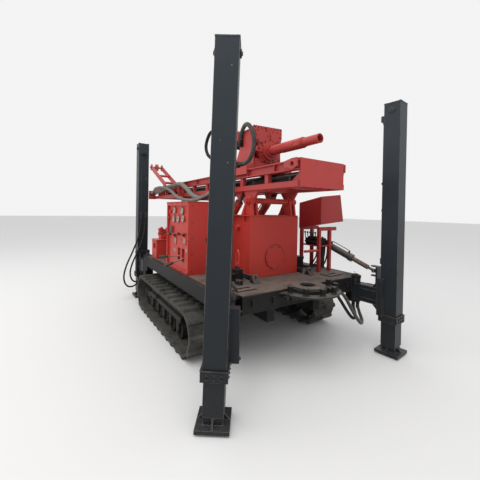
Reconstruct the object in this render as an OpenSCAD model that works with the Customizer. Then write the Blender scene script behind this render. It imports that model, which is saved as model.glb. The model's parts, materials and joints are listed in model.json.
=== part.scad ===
// Crawler rotary drilling rig with its mast lying in transport position.
// X is across the machine (plus is its right side), minus Y is the drilling end, Z is up.

/* [Tracks] */
// Distance from the machine's middle to the middle of a track
track_x = 930; // [880:10:1000]
// Width of a rubber belt
belt_w = 400; // [340:10:440]
// Distance between the two end wheels of a track
wheelbase = 1744; // [1600:8:1900]
// Radius of the belt's outer skin round an end wheel
belt_r = 250; // [235:5:260]
// Thickness of the belt
belt_t = 28; // [20:1:30]
// Height of a lug
lug_h = 28; // [18:1:32]
// Number of lugs on each half of a belt
lug_count = 29; // [20:1:32]
// Diameter of a bottom roller
roller_d = 210; // [180:5:215]
// Number of bottom rollers on a side
roller_count = 5; // [3:1:5]

/* [Deck] */
// Height of the deck's top above the ground
deck_z = 830; // [800:5:860]
// Half of the width over the side channels
deck_half = 1007; // [980:1:1030]
// Distance of the deck's front edge from the tracks' middle
deck_front = 1630; // [1600:5:1700]
// Distance of the deck's rear edge from the tracks' middle
deck_rear = 1210; // [1195:5:1260]
// Thickness of the deck plate
deck_t = 8; // [6:1:12]
// Height of a side channel
channel_h = 160; // [140:5:180]

/* [Outriggers] */
// Distance of a swing pin from the machine's middle
pivot_x = 950; // [930:5:960]
// Length from the swing pin to the leg's middle
arm_len = 450; // [420:5:500]
// Outer width of a leg tube
leg_w = 180; // [160:5:200]
// Wall of a leg tube
leg_wall = 9; // [6:1:12]
// Height of a leg tube's top above the ground
leg_top = 2900; // [2600:10:3000]
// Height of a rear leg tube's top above the ground
leg_top_rear = 2840; // [2600:10:3000]
// Height of a leg tube's lower end above the ground
leg_bottom = 375; // [320:5:400]
// Gap between the inner leg and its tube
leg_play = 0.3; // [0.2:0.1:3]
// Height of a foot's sole above the ground
foot_gap = 15; // [10:1:40]
// Outward swing of the front left arm
splay_front_left = 35; // [10:1:55]
// Outward swing of the front right arm
splay_front_right = 6; // [2:1:30]
// Lean of the front left leg tube, as it stands on the bent arm
lean_front_left = 1.3; // [0:0.1:2]

/* [Pedestal] */
// Half of the width of the pedestal's front plate
pedestal_half = 383; // [360:1:400]
// Distance of the pedestal's front from the tracks' middle
pedestal_front = 1112; // [1080:2:1150]
// Depth of the pedestal from front to rear
pedestal_depth = 452; // [400:4:500]
// Height of the pedestal's top above the ground
pedestal_top = 1580; // [1500:5:1600]
// Diameter of the round cover on the pedestal
cover_d = 300; // [240:5:340]

/* [Mast] */
// Distance of the mast's hinge from the tracks' middle
hinge_y = 1020; // [1000:2:1040]
// Height of the mast's hinge above the ground
hinge_z = 1756; // [1740:2:1780]
// Diameter of the mast's hinge shaft
hinge_d = 70; // [60:2:80]
// Outer half width over the mast's girders
mast_half = 350; // [346:2:380]
// Height of the mast's underside above the ground
mast_low = 1875; // [1865:1:1890]
// Height of the lower beam
lower_h = 60; // [50:2:80]
// Height of the upper girder's lower edge above the ground
girder_low = 2040; // [2030:2:2060]
// Height of the upper girder
girder_h = 100; // [90:2:110]
// Distance of the mast's foot from the tracks' middle
mast_foot_y = 1850; // [1800:5:1860]
// Distance of the mast's upper end from the tracks' middle
mast_end_y = 3000; // [2800:10:3100]
// Height of the spindle above the ground
spindle_z = 2400; // [2380:5:2420]
// Outer diameter of the spindle's base
spindle_d = 124; // [116:2:150]
// Outer diameter of the spindle's pipe
pipe_d = 100; // [90:2:110]
// Bore of the spindle
pipe_bore = 76; // [60:2:80]

/* [Console] */
// Height of the control console
console_h = 900; // [850:5:950]
// Depth of the control console across the machine
console_w = 330; // [280:5:360]
// Length of the control console along the machine
console_l = 790; // [700:5:800]

/* [Hidden] */
$fn = 48;

// Colours
RED = "firebrick";
DARK = "darkslategray";
BLACK = [0.15, 0.15, 0.16];
STEEL = "silver";
RUBBER = [0.33, 0.32, 0.30];

// Clearances
fit = 0.05;
seat = 0.3;
side_gap = 1;

// The corners: side of the machine, end of the machine, outward swing, lean, height of the tube's top
front_pivot_y = deck_front - 40;
rear_pivot_y = deck_rear - 40;
FRONT_LEFT = [-1, -1, splay_front_left, lean_front_left, leg_top];
FRONT_RIGHT = [1, -1, splay_front_right, 0, leg_top];
REAR_LEFT = [-1, 1, 0, 0, leg_top_rear];
REAR_RIGHT = [1, 1, 0, 0, leg_top_rear];

// Swing cylinders: root, rod's eye, and the lengths of barrel and rod
FRONT_SWING = [[0, -490, 1190], [132, 175, 900], 430, 510];
FRONT_LEFT_SWING = [[-120, -490, 1190], [132, 175, 900], 430, 510];
REAR_SWING = [[-600, 100, 640], [-120, 200, 640], 400, 415];

// Origin under the middle of the whole object's box
foot_half = 130;
foot_t = 30;
clevis_r = 34;
clevis_reach = 64;
clevis_corner = [FRONT_SWING[1][0] + clevis_r, FRONT_SWING[1][1] + clevis_reach + 20];
lean_shift = (leg_top - foot_gap - foot_t) * sin(lean_front_left);
box_left = pivot_x + arm_len * sin(splay_front_left) + lean_shift * cos(splay_front_left)
         + foot_half * (cos(splay_front_left) + sin(splay_front_left));
box_right = pivot_x + clevis_corner[0] * cos(splay_front_right) + clevis_corner[1] * sin(splay_front_right);
box_front = front_pivot_y + arm_len * cos(splay_front_right)
          + foot_half * (cos(splay_front_right) + sin(splay_front_right));
jib_y0 = 2760;
jib_z0 = girder_low + girder_h + 70;
jib_len = 1330;
jib_rise = 25;
jib_depth = 110;
jib_tip_y = jib_y0 + jib_len * cos(jib_rise);
jib_tip_z = jib_z0 + jib_len * sin(jib_rise);
jib_tip_r = 95;
box_rear = jib_tip_y + jib_tip_r;
centre = [(box_right - box_left) / 2, (box_rear - box_front) / 2, 0];

// Tracks
wheel_y = wheelbase / 2;
track_r = belt_r + lug_h;
inner_r = belt_r - belt_t;
roller_r = roller_d / 2;
roller_z = lug_h + belt_t + seat + roller_r;
hub_half = 78;
bracket_t = 32;
frame_in = track_x - hub_half - bracket_t;
frame_beam_z0 = 280;
frame_beam_h = 110;

// Chassis
rail_x = 350;
rail_w = 100;
rail_z0 = 450;
channel_z0 = deck_z - channel_h;
under_deck = deck_z - deck_t;
channel_flange = 60;
channel_t = 10;
end_beam_z0 = 590;
end_beam_w = 80;
end_beam_gap = 150;
skirt_half = 820;
skirt_t = 12;
skirt_z0 = 650;
cross_beam_y = 500;
cross_beam_w = 160;

// Corner joints
pin_r = 30;
lug_r = 70;
top_lug_t = 32;
low_lug_z = 500;
low_lug_t = 30;
arm_tube_r = 65;
arm_z0 = 540;
arm_h = 200;

// Legs
collar_h = 80;
collar_t = 14;
inner_w = leg_w - 2 * leg_wall - 2 * leg_play;
inner_len = 2300;
foot_neck = 60;

// Swing cylinders: end points measured from the corner's pin as outward, along, height
swing_bore_r = 45;
swing_rod_r = 30;
swing_pin_r = 20;
root_eye_r = 38;
root_eye_h = 50;
rod_eye_r = 28;
rod_eye_h = 44;
clevis_gap = 104;
clevis_t = 14;
swing_range = 60;

// Mast raising cylinders
tilt_x = 240;
tilt_base = [-120, 1200];
tilt_pin = [-720, 1822];
tilt_bore_r = 55;
tilt_rod_r = 32;
tilt_barrel_len = 760;
tilt_rod_len = 780;
tilt_pin_r = 30;
tilt_neck = 68;

// Mast
girder_w = 80;
girder_t = 12;
girder_x = mast_half - girder_w / 2;
mast_len = mast_end_y + mast_foot_y;
foot_t_plate = 12;
head_y0 = -950;
head_y1 = -560;
head_stop_y = 2680;
spindle_tip = 1800;
pipe_bore_len = 800;
ring_y = -hinge_y - (spindle_z - hinge_z);

// Routes of the free hoses
HOSE = [0.42, 0.43, 0.41];
large_hose_d = 76;
head_hose_d = 50;
leg_hose_d = 28;
front_hose_d = 36;
MAST_HOSE_LARGE = [[-425, 2660, 2000], [-425, 2540, 2000], [-425, 2000, 2050], [-425, 1500, 2080],
                   [-425, 1050, 2095], [-425, 780, 2010], [-425, 480, 1870], [-425, 150, 1815],
                   [-425, -250, 1900], [-425, -470, 2000], [-425, -600, 2000]];
MAST_HOSE_SMALL = [[-505, 2660, 2000], [-505, 2560, 2000], [-505, 2250, 2080], [-505, 1900, 2080],
                   [-505, 1400, 2000], [-505, 950, 1850], [-505, 600, 1795], [-505, 100, 1790],
                   [-505, -300, 1860], [-505, -480, 1900], [-505, -600, 1900]];
HEAD_HOSE_REAR = [[-176, -410, 2636], [-176, -340, 2636], [-225, -215, 2730], [-285, -80, 2810],
                  [-310, 80, 2830], [-310, 200, 2750], [-310, 250, 2630], [-310, 180, 2500],
                  [-318, 0, 2400], [-326, -170, 2290], [-330, -320, 2225], [-330, -430, 2225]];
HEAD_HOSE_FRONT = [[-249, -670, 2560], [-249, -670, 2620], [-262, -740, 2700], [-292, -850, 2722],
                   [-318, -960, 2680], [-330, -1050, 2580], [-336, -1095, 2460], [-338, -1075, 2340],
                   [-334, -995, 2253], [-330, -890, 2225], [-330, -790, 2225]];
REAR_LEG_HOSE_OUTER = [[-990, 1513, 1500], [-990, 1513, 1390], [-1040, 1490, 1120], [-1140, 1475, 860],
                       [-1250, 1465, 600], [-1285, 1462, 400], [-1230, 1457, 260], [-1120, 1450, 245],
                       [-1025, 1443, 340], [-990, 1440, 440], [-990, 1440, 505]];
REAR_LEG_HOSE_INNER = [[-910, 1513, 1500], [-910, 1513, 1390], [-960, 1482, 1120], [-1050, 1450, 880],
                       [-1150, 1430, 660], [-1188, 1422, 490], [-1150, 1417, 360], [-1070, 1410, 325],
                       [-990, 1403, 380], [-960, 1400, 450], [-960, 1400, 505]];
FRONT_HOSE_OUTER = [[430, -1665, 740], [430, -1735, 740], [470, -1795, 670], [560, -1825, 520],
                    [670, -1825, 390], [790, -1790, 310], [895, -1730, 310], [948, -1660, 370],
                    [955, -1628, 440], [955, -1628, 470]];
FRONT_HOSE_INNER = [[430, -1665, 690], [430, -1700, 690], [465, -1742, 615], [560, -1765, 480],
                    [660, -1760, 390], [765, -1725, 360], [850, -1670, 365], [898, -1615, 410],
                    [905, -1600, 445], [905, -1600, 470]];

// Helpers
module placed() {
    translate(-centre) children();
}

module block(low, high) {
    translate(low) cube(high - low);
}

// A round bar between two points
module bar(a, b, r) {
    d = b - a;
    len = norm(d);
    translate(a) rotate([0, acos(d[2] / len), atan2(d[1], d[0])]) cylinder(h = len, r = r);
}

// A round bar along X
module bar_x(x0, x1, y, z, r) {
    translate([x0, y, z]) rotate([0, 90, 0]) cylinder(h = x1 - x0, r = r);
}

// A round bar along Y
module bar_y(x, y0, y1, z, r) {
    translate([x, y0, z]) rotate([-90, 0, 0]) cylinder(h = y1 - y0, r = r);
}

// A plate standing along the machine: outline in Y and Z, thickness from x0 to x1
module side_plate(x0, x1) {
    translate([x0, 0, 0]) rotate([90, 0, 90]) linear_extrude(x1 - x0) children();
}

// A plate standing across the machine: outline in X and Z, thickness from y0 to y1
module cross_plate(y0, y1) {
    translate([0, y1, 0]) rotate([90, 0, 0]) linear_extrude(y1 - y0) children();
}

// Both sides of the machine
module both_sides() {
    children();
    mirror([1, 0, 0]) children();
}

// The frame of a corner: outward, away from the deck, up
module at_corner(c) {
    translate([c[0] * pivot_x, c[1] == -1 ? -front_pivot_y : rear_pivot_y, 0])
        scale([c[0], c[1], 1]) children();
}

// The frame of a corner's arm, with the arm along its second axis
module at_arm(c) {
    at_corner(c) rotate([0, 0, -c[2]]) children();
}

// Chassis
module corner_bracket() {
    translate([0, 0, deck_z - top_lug_t]) linear_extrude(top_lug_t) {
        circle(r = lug_r);
        translate([-130, -end_beam_gap]) square([130 + deck_half - pivot_x, end_beam_gap]);
    }
    translate([0, 0, low_lug_z]) linear_extrude(low_lug_t) {
        circle(r = lug_r);
        translate([-lug_r, -90]) square([2 * lug_r, 90]);
    }
    block([-lug_r, -90, low_lug_z], [deck_half - pivot_x, -75, deck_z - top_lug_t]);
    translate([0, 0, low_lug_z - 12]) cylinder(h = deck_z - low_lug_z + 24, r = pin_r);
    translate([0, 0, deck_z]) cylinder(h = 12, r = pin_r + 12);
}

module side_channel() {
    x1 = deck_half;
    y0 = -front_pivot_y + 75;
    y1 = rear_pivot_y - 75;
    block([x1 - channel_t, y0, channel_z0], [x1, y1, deck_z]);
    for (z = [channel_z0, deck_z - channel_t])
        block([x1 - channel_flange, y0, z], [x1, y1, z + channel_t]);
}

// The front skirt is open in the middle, where the drill string goes down
mouth_half = 385;
mouth_z = 745;
module skirt_outline() {
    polygon([[-skirt_half, skirt_z0], [-mouth_half, skirt_z0], [-mouth_half + 60, mouth_z],
             [mouth_half - 60, mouth_z], [mouth_half, skirt_z0], [skirt_half, skirt_z0],
             [skirt_half, under_deck], [-skirt_half, under_deck]]);
}

module chassis_frame() placed() color(BLACK) difference() {
    chassis_steel();
    // Free way for the drill string
    translate([0, ring_y, 0]) cylinder(h = under_deck, r = table_bore / 2 + 15);
}

module chassis_steel() {
    both_sides() {
        block([rail_x - rail_w / 2, -front_pivot_y + 110, rail_z0],
              [rail_x + rail_w / 2, rear_pivot_y - 70, channel_z0]);
        side_channel();
        at_corner([1, -1, 0]) corner_bracket();
        at_corner([1, 1, 0]) corner_bracket();
        block([skirt_half - skirt_t, -deck_front, skirt_z0],
              [skirt_half, -front_pivot_y + end_beam_gap, under_deck]);
        block([skirt_half - skirt_t, rear_pivot_y - end_beam_gap, skirt_z0],
              [skirt_half, deck_rear, under_deck]);
    }
    for (y = [-cross_beam_y, cross_beam_y])
        block([-frame_in, y - cross_beam_w / 2, rail_z0 - cross_beam_w],
              [frame_in, y + cross_beam_w / 2, rail_z0]);
    for (y = [-1000, -500, 0, 500])
        block([-deck_half + channel_t, y - 30, channel_z0 + channel_t],
              [deck_half - channel_t, y + 30, under_deck]);
    for (y = [-front_pivot_y + 90, rear_pivot_y - 90 - end_beam_w])
        block([-deck_half, y, end_beam_z0], [deck_half, y + end_beam_w, under_deck]);
    cross_plate(-deck_front, -deck_front + skirt_t) skirt_outline();
    // Glands of the hoses to the front right corner
    for (z = [740, 690]) bar_y(430, -deck_front - 35, -deck_front + 1, z, front_hose_d / 2 + 5);
    for (g = [[905, -1600], [955, -1628]])
        translate([g[0], g[1], 470]) cylinder(h = low_lug_z - 469, r = front_hose_d / 2 + 4);
    // Hooks on the front skirt and steps under the side channels
    both_sides() {
        for (x = [mouth_half + 60, skirt_half - 120]) block([x, -deck_front - 22, skirt_z0 + 60],
                                                             [x + 16, -deck_front + 1, skirt_z0 + 130]);
        for (y = [-900, -300, 300, 900])
            side_plate(deck_half - channel_flange, deck_half - channel_flange + 8)
                polygon([[y - 60, channel_z0 + 1], [y + 60, channel_z0 + 1], [y, channel_z0 - 60]]);
    }
    block([-skirt_half, deck_rear - skirt_t, skirt_z0], [skirt_half, deck_rear, under_deck]);
}

tongue_r = 200;
tongue_rim = 12;
tongue_rise = 14;
table_bore = 170;
module deck_plate() placed() color("dimgray") {
    wide = deck_half - channel_flange;
    wide_y0 = -front_pivot_y + end_beam_gap;
    difference() {
        union() {
            block([-wide, wide_y0, under_deck], [wide, rear_pivot_y - end_beam_gap, deck_z]);
            block([-skirt_half, -deck_front, under_deck], [skirt_half, wide_y0 + 1, deck_z]);
            block([-skirt_half, rear_pivot_y - end_beam_gap - 1, under_deck],
                  [skirt_half, deck_rear, deck_z]);
            translate([0, ring_y, under_deck]) cylinder(h = deck_t, r = tongue_r);
            // Raised ring round the table's hole
            translate([0, ring_y, deck_z - 1]) cylinder(h = tongue_rise + 1, r = tongue_r - tongue_rim);
        }
        translate([0, ring_y, 0]) cylinder(h = 2 * deck_z, r = table_bore / 2);
    }
    both_sides() deck_lug();
    // Slotted plates at the front corners and ribs beside the pedestal
    both_sides() {
        difference() {
            block([560, -1500, deck_z - 1], [800, -1350, deck_z + plate_t]);
            block([600, -1445, deck_z - 2], [760, -1405, deck_z + plate_t + 1]);
        }
        block([pedestal_half + 20, -1180, deck_z - 1], [pedestal_half + 36, -960, deck_z + 60]);
    }
    for (x = [-640, -610]) block([x, -1300, deck_z - 1], [x + 12, -1210, deck_z + 50]);
    bar_x(-655, -583, -1255, deck_z + 34, 12);
}
plate_t = 10;

// An inclined lug plate with a hole and a gusset behind it
lug_x = 430;
lug_y = -1330;
lug_lean = 30;
lug_len = 120;
lug_w = 80;
lug_t = 14;
module deck_lug() {
    translate([lug_x, lug_y, deck_z]) difference() {
        union() {
            rotate([-lug_lean, 0, 0]) difference() {
                translate([-lug_w / 2, 0, -10]) cube([lug_w, lug_t, lug_len]);
                translate([0, -1, 70]) rotate([-90, 0, 0]) cylinder(h = lug_t + 2, r = 18);
            }
            for (x = [-lug_w / 2 + 4, lug_w / 2 - 16])
                side_plate(x, x + 12) polygon([[6, -2], [100, -2], [50, 78]]);
        }
        block([-lug_w, -lug_w, -40], [lug_w, 2 * lug_w, -1]);
    }
}

// Tracks
module belt_loop(r) {
    for (s = [-1, 1]) translate([s * wheel_y, track_r]) circle(r = r, $fn = 64);
    translate([-wheel_y, track_r - r]) square([wheelbase, 2 * r]);
}

// A lug's outline on the straight or the round stretch at a distance along the loop
module lug_profile() {
    polygon([[-38, -4], [38, -4], [20, lug_h], [-20, lug_h]]);
}

loop_len = 2 * wheelbase + 2 * PI * belt_r;
module at_loop(d) {
    round_len = PI * belt_r;
    s = d % loop_len;
    if (s < wheelbase)
        translate([-wheel_y + s, track_r + belt_r]) children();
    else if (s < wheelbase + round_len) {
        a = (s - wheelbase) / belt_r * 180 / PI;
        translate([wheel_y, track_r]) rotate(-a) translate([0, belt_r]) children();
    } else if (s < 2 * wheelbase + round_len)
        translate([wheel_y - (s - wheelbase - round_len), track_r - belt_r]) rotate(180) children();
    else {
        a = (s - 2 * wheelbase - round_len) / belt_r * 180 / PI;
        translate([-wheel_y, track_r]) rotate(180 - a) translate([0, belt_r]) children();
    }
}

module belt_half(x0, x1, phase) {
    side_plate(x0, x1) difference() {
        union() {
            belt_loop(belt_r);
            for (i = [0 : lug_count - 1])
                at_loop((i + phase) * loop_len / lug_count) lug_profile();
        }
        belt_loop(inner_r);
    }
}

module track_right() placed() color(RUBBER) {
    belt_half(track_x - belt_w / 2, track_x, 0.25);
    belt_half(track_x, track_x + belt_w / 2, 0.75);
}

module track_left() placed() color(RUBBER) mirror([1, 0, 0]) {
    belt_half(track_x - belt_w / 2, track_x, 0.25);
    belt_half(track_x, track_x + belt_w / 2, 0.75);
}

function roller_y(i) = (i - (roller_count - 1) / 2) * 270;

module track_frame() {
    beam_y = wheel_y - inner_r - 10;
    block([track_x - 80, -beam_y, frame_beam_z0], [track_x + 80, beam_y, frame_beam_z0 + frame_beam_h]);
    for (s = [-1, 1]) {
        x = track_x + s * (hub_half + bracket_t / 2);
        // Roller brackets with round lower ends
        for (i = [0 : roller_count - 1])
            side_plate(x - bracket_t / 2, x + bracket_t / 2) {
                translate([roller_y(i), roller_z]) circle(r = 42);
                translate([roller_y(i) - 42, roller_z]) square([84, frame_beam_z0 + 60 - roller_z]);
            }
        block([x - bracket_t / 2, -beam_y, frame_beam_z0], [x + bracket_t / 2, beam_y, frame_beam_z0 + 60]);
        // Fork arm beside the rear end wheel
        side_plate(x - bracket_t / 2, x + bracket_t / 2) {
            translate([wheel_y, track_r]) circle(r = 62);
            translate([beam_y - 10, track_r - 40]) square([wheel_y - beam_y + 10, 80]);
        }
    }
    // Plate that carries the final drive
    x = track_x - hub_half - bracket_t;
    side_plate(x, x + bracket_t) difference() {
        union() {
            translate([-wheel_y, track_r]) circle(r = 150);
            translate([-wheel_y, track_r - 60]) square([wheel_y - beam_y + 10, 150]);
        }
        translate([-wheel_y, track_r]) circle(r = drive_r + seat);
    }
}
drive_r = 100;

module track_frame_right() placed() color(BLACK) track_frame();
module track_frame_left() placed() color(BLACK) mirror([1, 0, 0]) track_frame();

module sprocket() {
    teeth = 13;
    bar_x(track_x - 165, track_x + 60, -wheel_y, track_r, drive_r);
    bar_x(track_x - 210, track_x - 110, -wheel_y, track_r, 70);
    side_plate(track_x - 24, track_x + 24) {
        translate([-wheel_y, track_r]) {
            circle(r = inner_r - 36);
            for (i = [0 : teeth - 1]) rotate(i * 360 / teeth)
                translate([0, inner_r - 40]) polygon([[-26, 0], [26, 0], [14, 39], [-14, 39]]);
        }
    }
}

module track_wheels() {
    for (i = [0 : roller_count - 1]) {
        bar_x(track_x - hub_half, track_x - 22, roller_y(i), roller_z, roller_r);
        bar_x(track_x + 22, track_x + hub_half, roller_y(i), roller_z, roller_r);
        bar_x(track_x - 30, track_x + 30, roller_y(i), roller_z, 60);
    }
    bar_x(track_x - 60, track_x + 60, wheel_y, track_r, inner_r - seat);
    bar_x(track_x - hub_half, track_x + hub_half, wheel_y, track_r, 70);
    sprocket();
}

module track_wheels_right() placed() color(BLACK) track_wheels();
module track_wheels_left() placed() color(BLACK) mirror([1, 0, 0]) track_wheels();

// Pedestal
bracket_x = 305;
bracket_gap = 19;
ear_t = 26;
module ear_outline() {
    translate([-hinge_y, hinge_z]) circle(r = 62);
    polygon([[-hinge_y - 62, hinge_z], [-hinge_y + 62, hinge_z], [-hinge_y + 160, pedestal_top],
             [-hinge_y - 90, pedestal_top]]);
}

module mast_pedestal() placed() color(RED) {
    y0 = -pedestal_front;
    y1 = y0 + pedestal_depth;
    body_half = pedestal_half - 38;
    shaft_half = bracket_x + bracket_gap + ear_t;
    block([-pedestal_half, y0, deck_z], [pedestal_half, y0 + 12, pedestal_top]);
    block([-body_half, y0 + 12, deck_z], [body_half, y1, pedestal_top]);
    block([-pedestal_half, y0, pedestal_top - 12], [pedestal_half, y1, pedestal_top]);
    block([-pedestal_half, y0, deck_z], [pedestal_half, y1, deck_z + 12]);
    bar_y(0, y0 - 8, y0, cover_z, cover_d / 2);
    both_sides() {
        for (y = [y0 + 150, y1 - 60]) cross_plate(y, y + 10)
            polygon([[body_half, pedestal_top - 12], [pedestal_half, pedestal_top - 12],
                     [body_half, pedestal_top - 90]]);
        for (x = [bracket_x - bracket_gap - ear_t, bracket_x + bracket_gap])
            side_plate(x, x + ear_t) ear_outline();
        // Brace across the ears' feet and the cap on the shaft's end
        cross_plate(-hinge_y + 62, -hinge_y + 74)
            polygon([[bracket_x - 130, pedestal_top - 1], [pedestal_half, pedestal_top - 1],
                     [bracket_x + bracket_gap + ear_t, hinge_z - 40], [bracket_x + bracket_gap, hinge_z - 40],
                     [bracket_x + bracket_gap, pedestal_top + 40], [bracket_x - bracket_gap, pedestal_top + 40],
                     [bracket_x - bracket_gap, hinge_z - 70], [bracket_x - bracket_gap - ear_t, hinge_z - 70]]);
        bar_x(shaft_half - 1, shaft_half + 12, -hinge_y, hinge_z, 58);
        bar_x(shaft_half + 11, shaft_half + 40, -hinge_y, hinge_z, 44);
    }
    bar_x(-shaft_half - 55, shaft_half + 55, -hinge_y, hinge_z, hinge_d / 2);
    // Drain and filler stubs behind the left face
    for (z = [940, 1420]) bar_x(-body_half - 45, -body_half + 1, y0 + 300, z, 32);
}
cover_z = 1066;

// Drill table
table_r = 340;
table_in = 245;
table_z = 786;
table_t = 16;
post_count = 6;
module drill_table() placed() color(BLACK) {
    mouth = -ring_y - deck_front - seat;
    translate([0, ring_y, table_z]) {
        linear_extrude(table_t) {
            difference() {
                circle(r = table_r, $fn = 96);
                circle(r = table_in, $fn = 96);
                translate([-table_r, mouth]) square([2 * table_r, table_r * 2]);
            }
            // Pointed ends beside the deck's front edge
            for (s = [-1, 1]) polygon([[s * (table_in + 4), mouth - 40], [s * (table_r - 2), mouth - 40],
                                       [s * (table_r + 26), mouth], [s * (table_in - 60), mouth]]);
        }
        for (i = [0 : post_count - 1]) rotate(-172 + i * 164 / (post_count - 1))
            translate([(table_r + table_in) / 2, 0, table_t - 1]) {
                cylinder(h = post_h, r = 28);
                cylinder(h = 12, r = 36);
            }
    }
    // Brackets that carry the ring from the front skirt
    both_sides() block([table_in + 20, -deck_front - 60, mouth_z], [table_in + 40, -deck_front, table_z]);
    // Latch under the ring
    block([-table_in - 40, ring_y - 60, table_z - 60], [-table_in + 40, ring_y + 30, table_z + 1]);
    bar_x(-table_in - 90, -table_in + 70, ring_y - 20, table_z - 30, 16);
    block([-table_in - 94, ring_y - 60, table_z - 46], [-table_in - 78, ring_y + 4, table_z - 14]);
}
post_h = 75;

// Engine and its neighbours
engine_y0 = 130;
engine_y1 = 830;
engine_z = 1060;
engine_half = 150;
cylinders = 6;
module engine() placed() color([0.25, 0.28, 0.3]) {
    pitch = (engine_y1 - engine_y0 - 160) / cylinders;
    head_z = engine_z + 240;
    // Oil pan, block, head and valve cover
    block([-110, engine_y0 + 90, deck_z + 20], [110, engine_y1 - 150, engine_z - 60]);
    block([-engine_half, engine_y0 + 60, engine_z - 61], [engine_half, engine_y1 - 60, head_z]);
    block([-engine_half + 18, engine_y0 + 68, head_z - 1], [engine_half - 18, engine_y1 - 68, head_z + 90]);
    block([-engine_half + 50, engine_y0 + 76, head_z + 89], [engine_half - 50, engine_y1 - 76, head_z + 150]);
    for (i = [0 : cylinders - 1]) {
        y = engine_y0 + 80 + (i + 0.5) * pitch;
        // Block ribs, intake runners and exhaust ports
        both_sides() block([engine_half - 1, y - 8, engine_z - 50], [engine_half + 8, y + 8, head_z - 10]);
        bar([engine_half - 30, y, head_z + 50], [engine_half + 40, y, head_z + 50], 20);
        bar([-engine_half - 40, y, head_z + 40], [-engine_half + 30, y, head_z + 40], 18);
        translate([0, y, head_z + 149]) cylinder(h = 10, r = 12);
    }
    // Intake log, exhaust manifold and turbocharger
    bar_y(engine_half + 40, engine_y0 + 90, engine_y1 - 90, head_z + 50, 30);
    bar_y(-engine_half - 40, engine_y0 + 100, engine_y1 - 100, head_z + 40, 24);
    bar_y(-engine_half - 50, engine_y0 + 250, engine_y0 + 300, head_z + 110, 52);
    bar_y(-engine_half - 50, engine_y0 + 299, engine_y0 + 350, head_z + 110, 30);
    block([-engine_half - 66, engine_y0 + 290, head_z + 50], [-engine_half - 30, engine_y0 + 330, head_z + 100]);
    // Flywheel housing with the hydraulic pump behind it
    bar_y(0, engine_y0 + 20, engine_y0 + 61, engine_z, 205);
    bar_y(0, engine_y0 - 40, engine_y0 + 21, engine_z, 170);
    bar_y(0, engine_y0 - 180, engine_y0 - 39, engine_z, 85);
    bar_y(0, engine_y0 - 230, engine_y0 - 179, engine_z, 60);
    // Pulleys, fan and its blades
    bar_y(0, engine_y1 - 61, engine_y1 - 20, engine_z, 80);
    bar_y(0, engine_y1 - 61, engine_y1 + 20, head_z - 50, 50);
    for (a = [0 : 60 : 300]) translate([0, engine_y1 + 20, head_z - 50]) rotate([0, a, 0])
        rotate([0, 0, 25]) block([-45, -5, 30], [45, 3, 225]);
    bar_y(0, engine_y1 + 8, engine_y1 + 40, head_z - 50, 60);
    // Generator, starter and filters
    bar_y(engine_half + 70, engine_y1 - 240, engine_y1 - 90, head_z - 60, 62);
    bar_y(-engine_half - 60, engine_y0 + 70, engine_y0 + 230, engine_z - 10, 48);
    for (y = [330, 430]) translate([engine_half + 55, y, engine_z - 30]) cylinder(h = 160, r = 42);
    block([engine_half - 1, 290, engine_z + 110], [engine_half + 90, 470, engine_z + 150]);
    // Feet
    both_sides() for (y = [engine_y0 + 80, engine_y1 - 160]) {
        block([engine_half - 1, y, engine_z - 50], [engine_half + 110, y + 80, engine_z - 30]);
        block([engine_half + 40, y + 6, deck_z], [engine_half + 100, y + 74, engine_z - 49]);
    }
}

radiator_y = 940;
radiator_half = 400;
radiator_top = 1640;
radiator_t = 120;
slat_pitch = 32;
module radiator() placed() color(BLACK) {
    back = radiator_y + radiator_t;
    low = deck_z + 50;
    difference() {
        block([-radiator_half, radiator_y, low], [radiator_half, back, radiator_top]);
        block([-radiator_half + 45, back - 40, low + 70], [radiator_half - 45, back + 1, radiator_top - 90]);
        bar_y(0, radiator_y - 1, radiator_y + 30, 1250, 262);
    }
    // Slats of the rear grille
    for (z = [low + 86 : slat_pitch : radiator_top - 106])
        block([-radiator_half + 44, back - 36, z], [radiator_half - 44, back - 8, z + 8]);
    for (x = [-130, 118]) block([x, back - 37, low + 69], [x + 12, back - 6, radiator_top - 89]);
    // Fan shroud
    difference() {
        bar_y(0, radiator_y - 90, radiator_y + 1, 1250, 300);
        bar_y(0, radiator_y - 91, radiator_y + 2, 1250, 262);
    }
    translate([-250, radiator_y + radiator_t / 2, radiator_top - 1]) cylinder(h = 26, r = 42);
    translate([-250, radiator_y + radiator_t / 2, radiator_top + 24]) cylinder(h = 16, r = 50);
    bar_y(220, radiator_y - 80, radiator_y + 1, radiator_top - 70, 28);
    bar_y(-220, radiator_y - 80, radiator_y + 1, low + 70, 28);
    block([-radiator_half, radiator_y - 10, deck_z], [radiator_half, back + 8, low + 1]);
}

exhaust_x = -330;
exhaust_z = 1500;
module exhaust() placed() color([0.35, 0.3, 0.27]) {
    bar_y(exhaust_x, 260, 700, exhaust_z, 90);
    for (y = [245, 699]) bar_y(exhaust_x, y, y + 16, exhaust_z, 70);
    for (y = [330, 610]) bar_y(exhaust_x, y, y + 30, exhaust_z, 95);
    bar([exhaust_x, 600, exhaust_z + 60], [exhaust_x, 600, mast_low - 95], 35);
    bar([exhaust_x, 600, exhaust_z + 84], [exhaust_x, 600, exhaust_z + 100], 44);
    // Bracket to the deck
    for (y = [335, 615]) block([exhaust_x - 8, y, deck_z], [exhaust_x + 8, y + 20, exhaust_z - 80]);
    bar_y(exhaust_x, 180, 246, exhaust_z, 36);
    bar([exhaust_x, 190, exhaust_z], [exhaust_x + 80, 190, exhaust_z - 90], 36);
}

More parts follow.
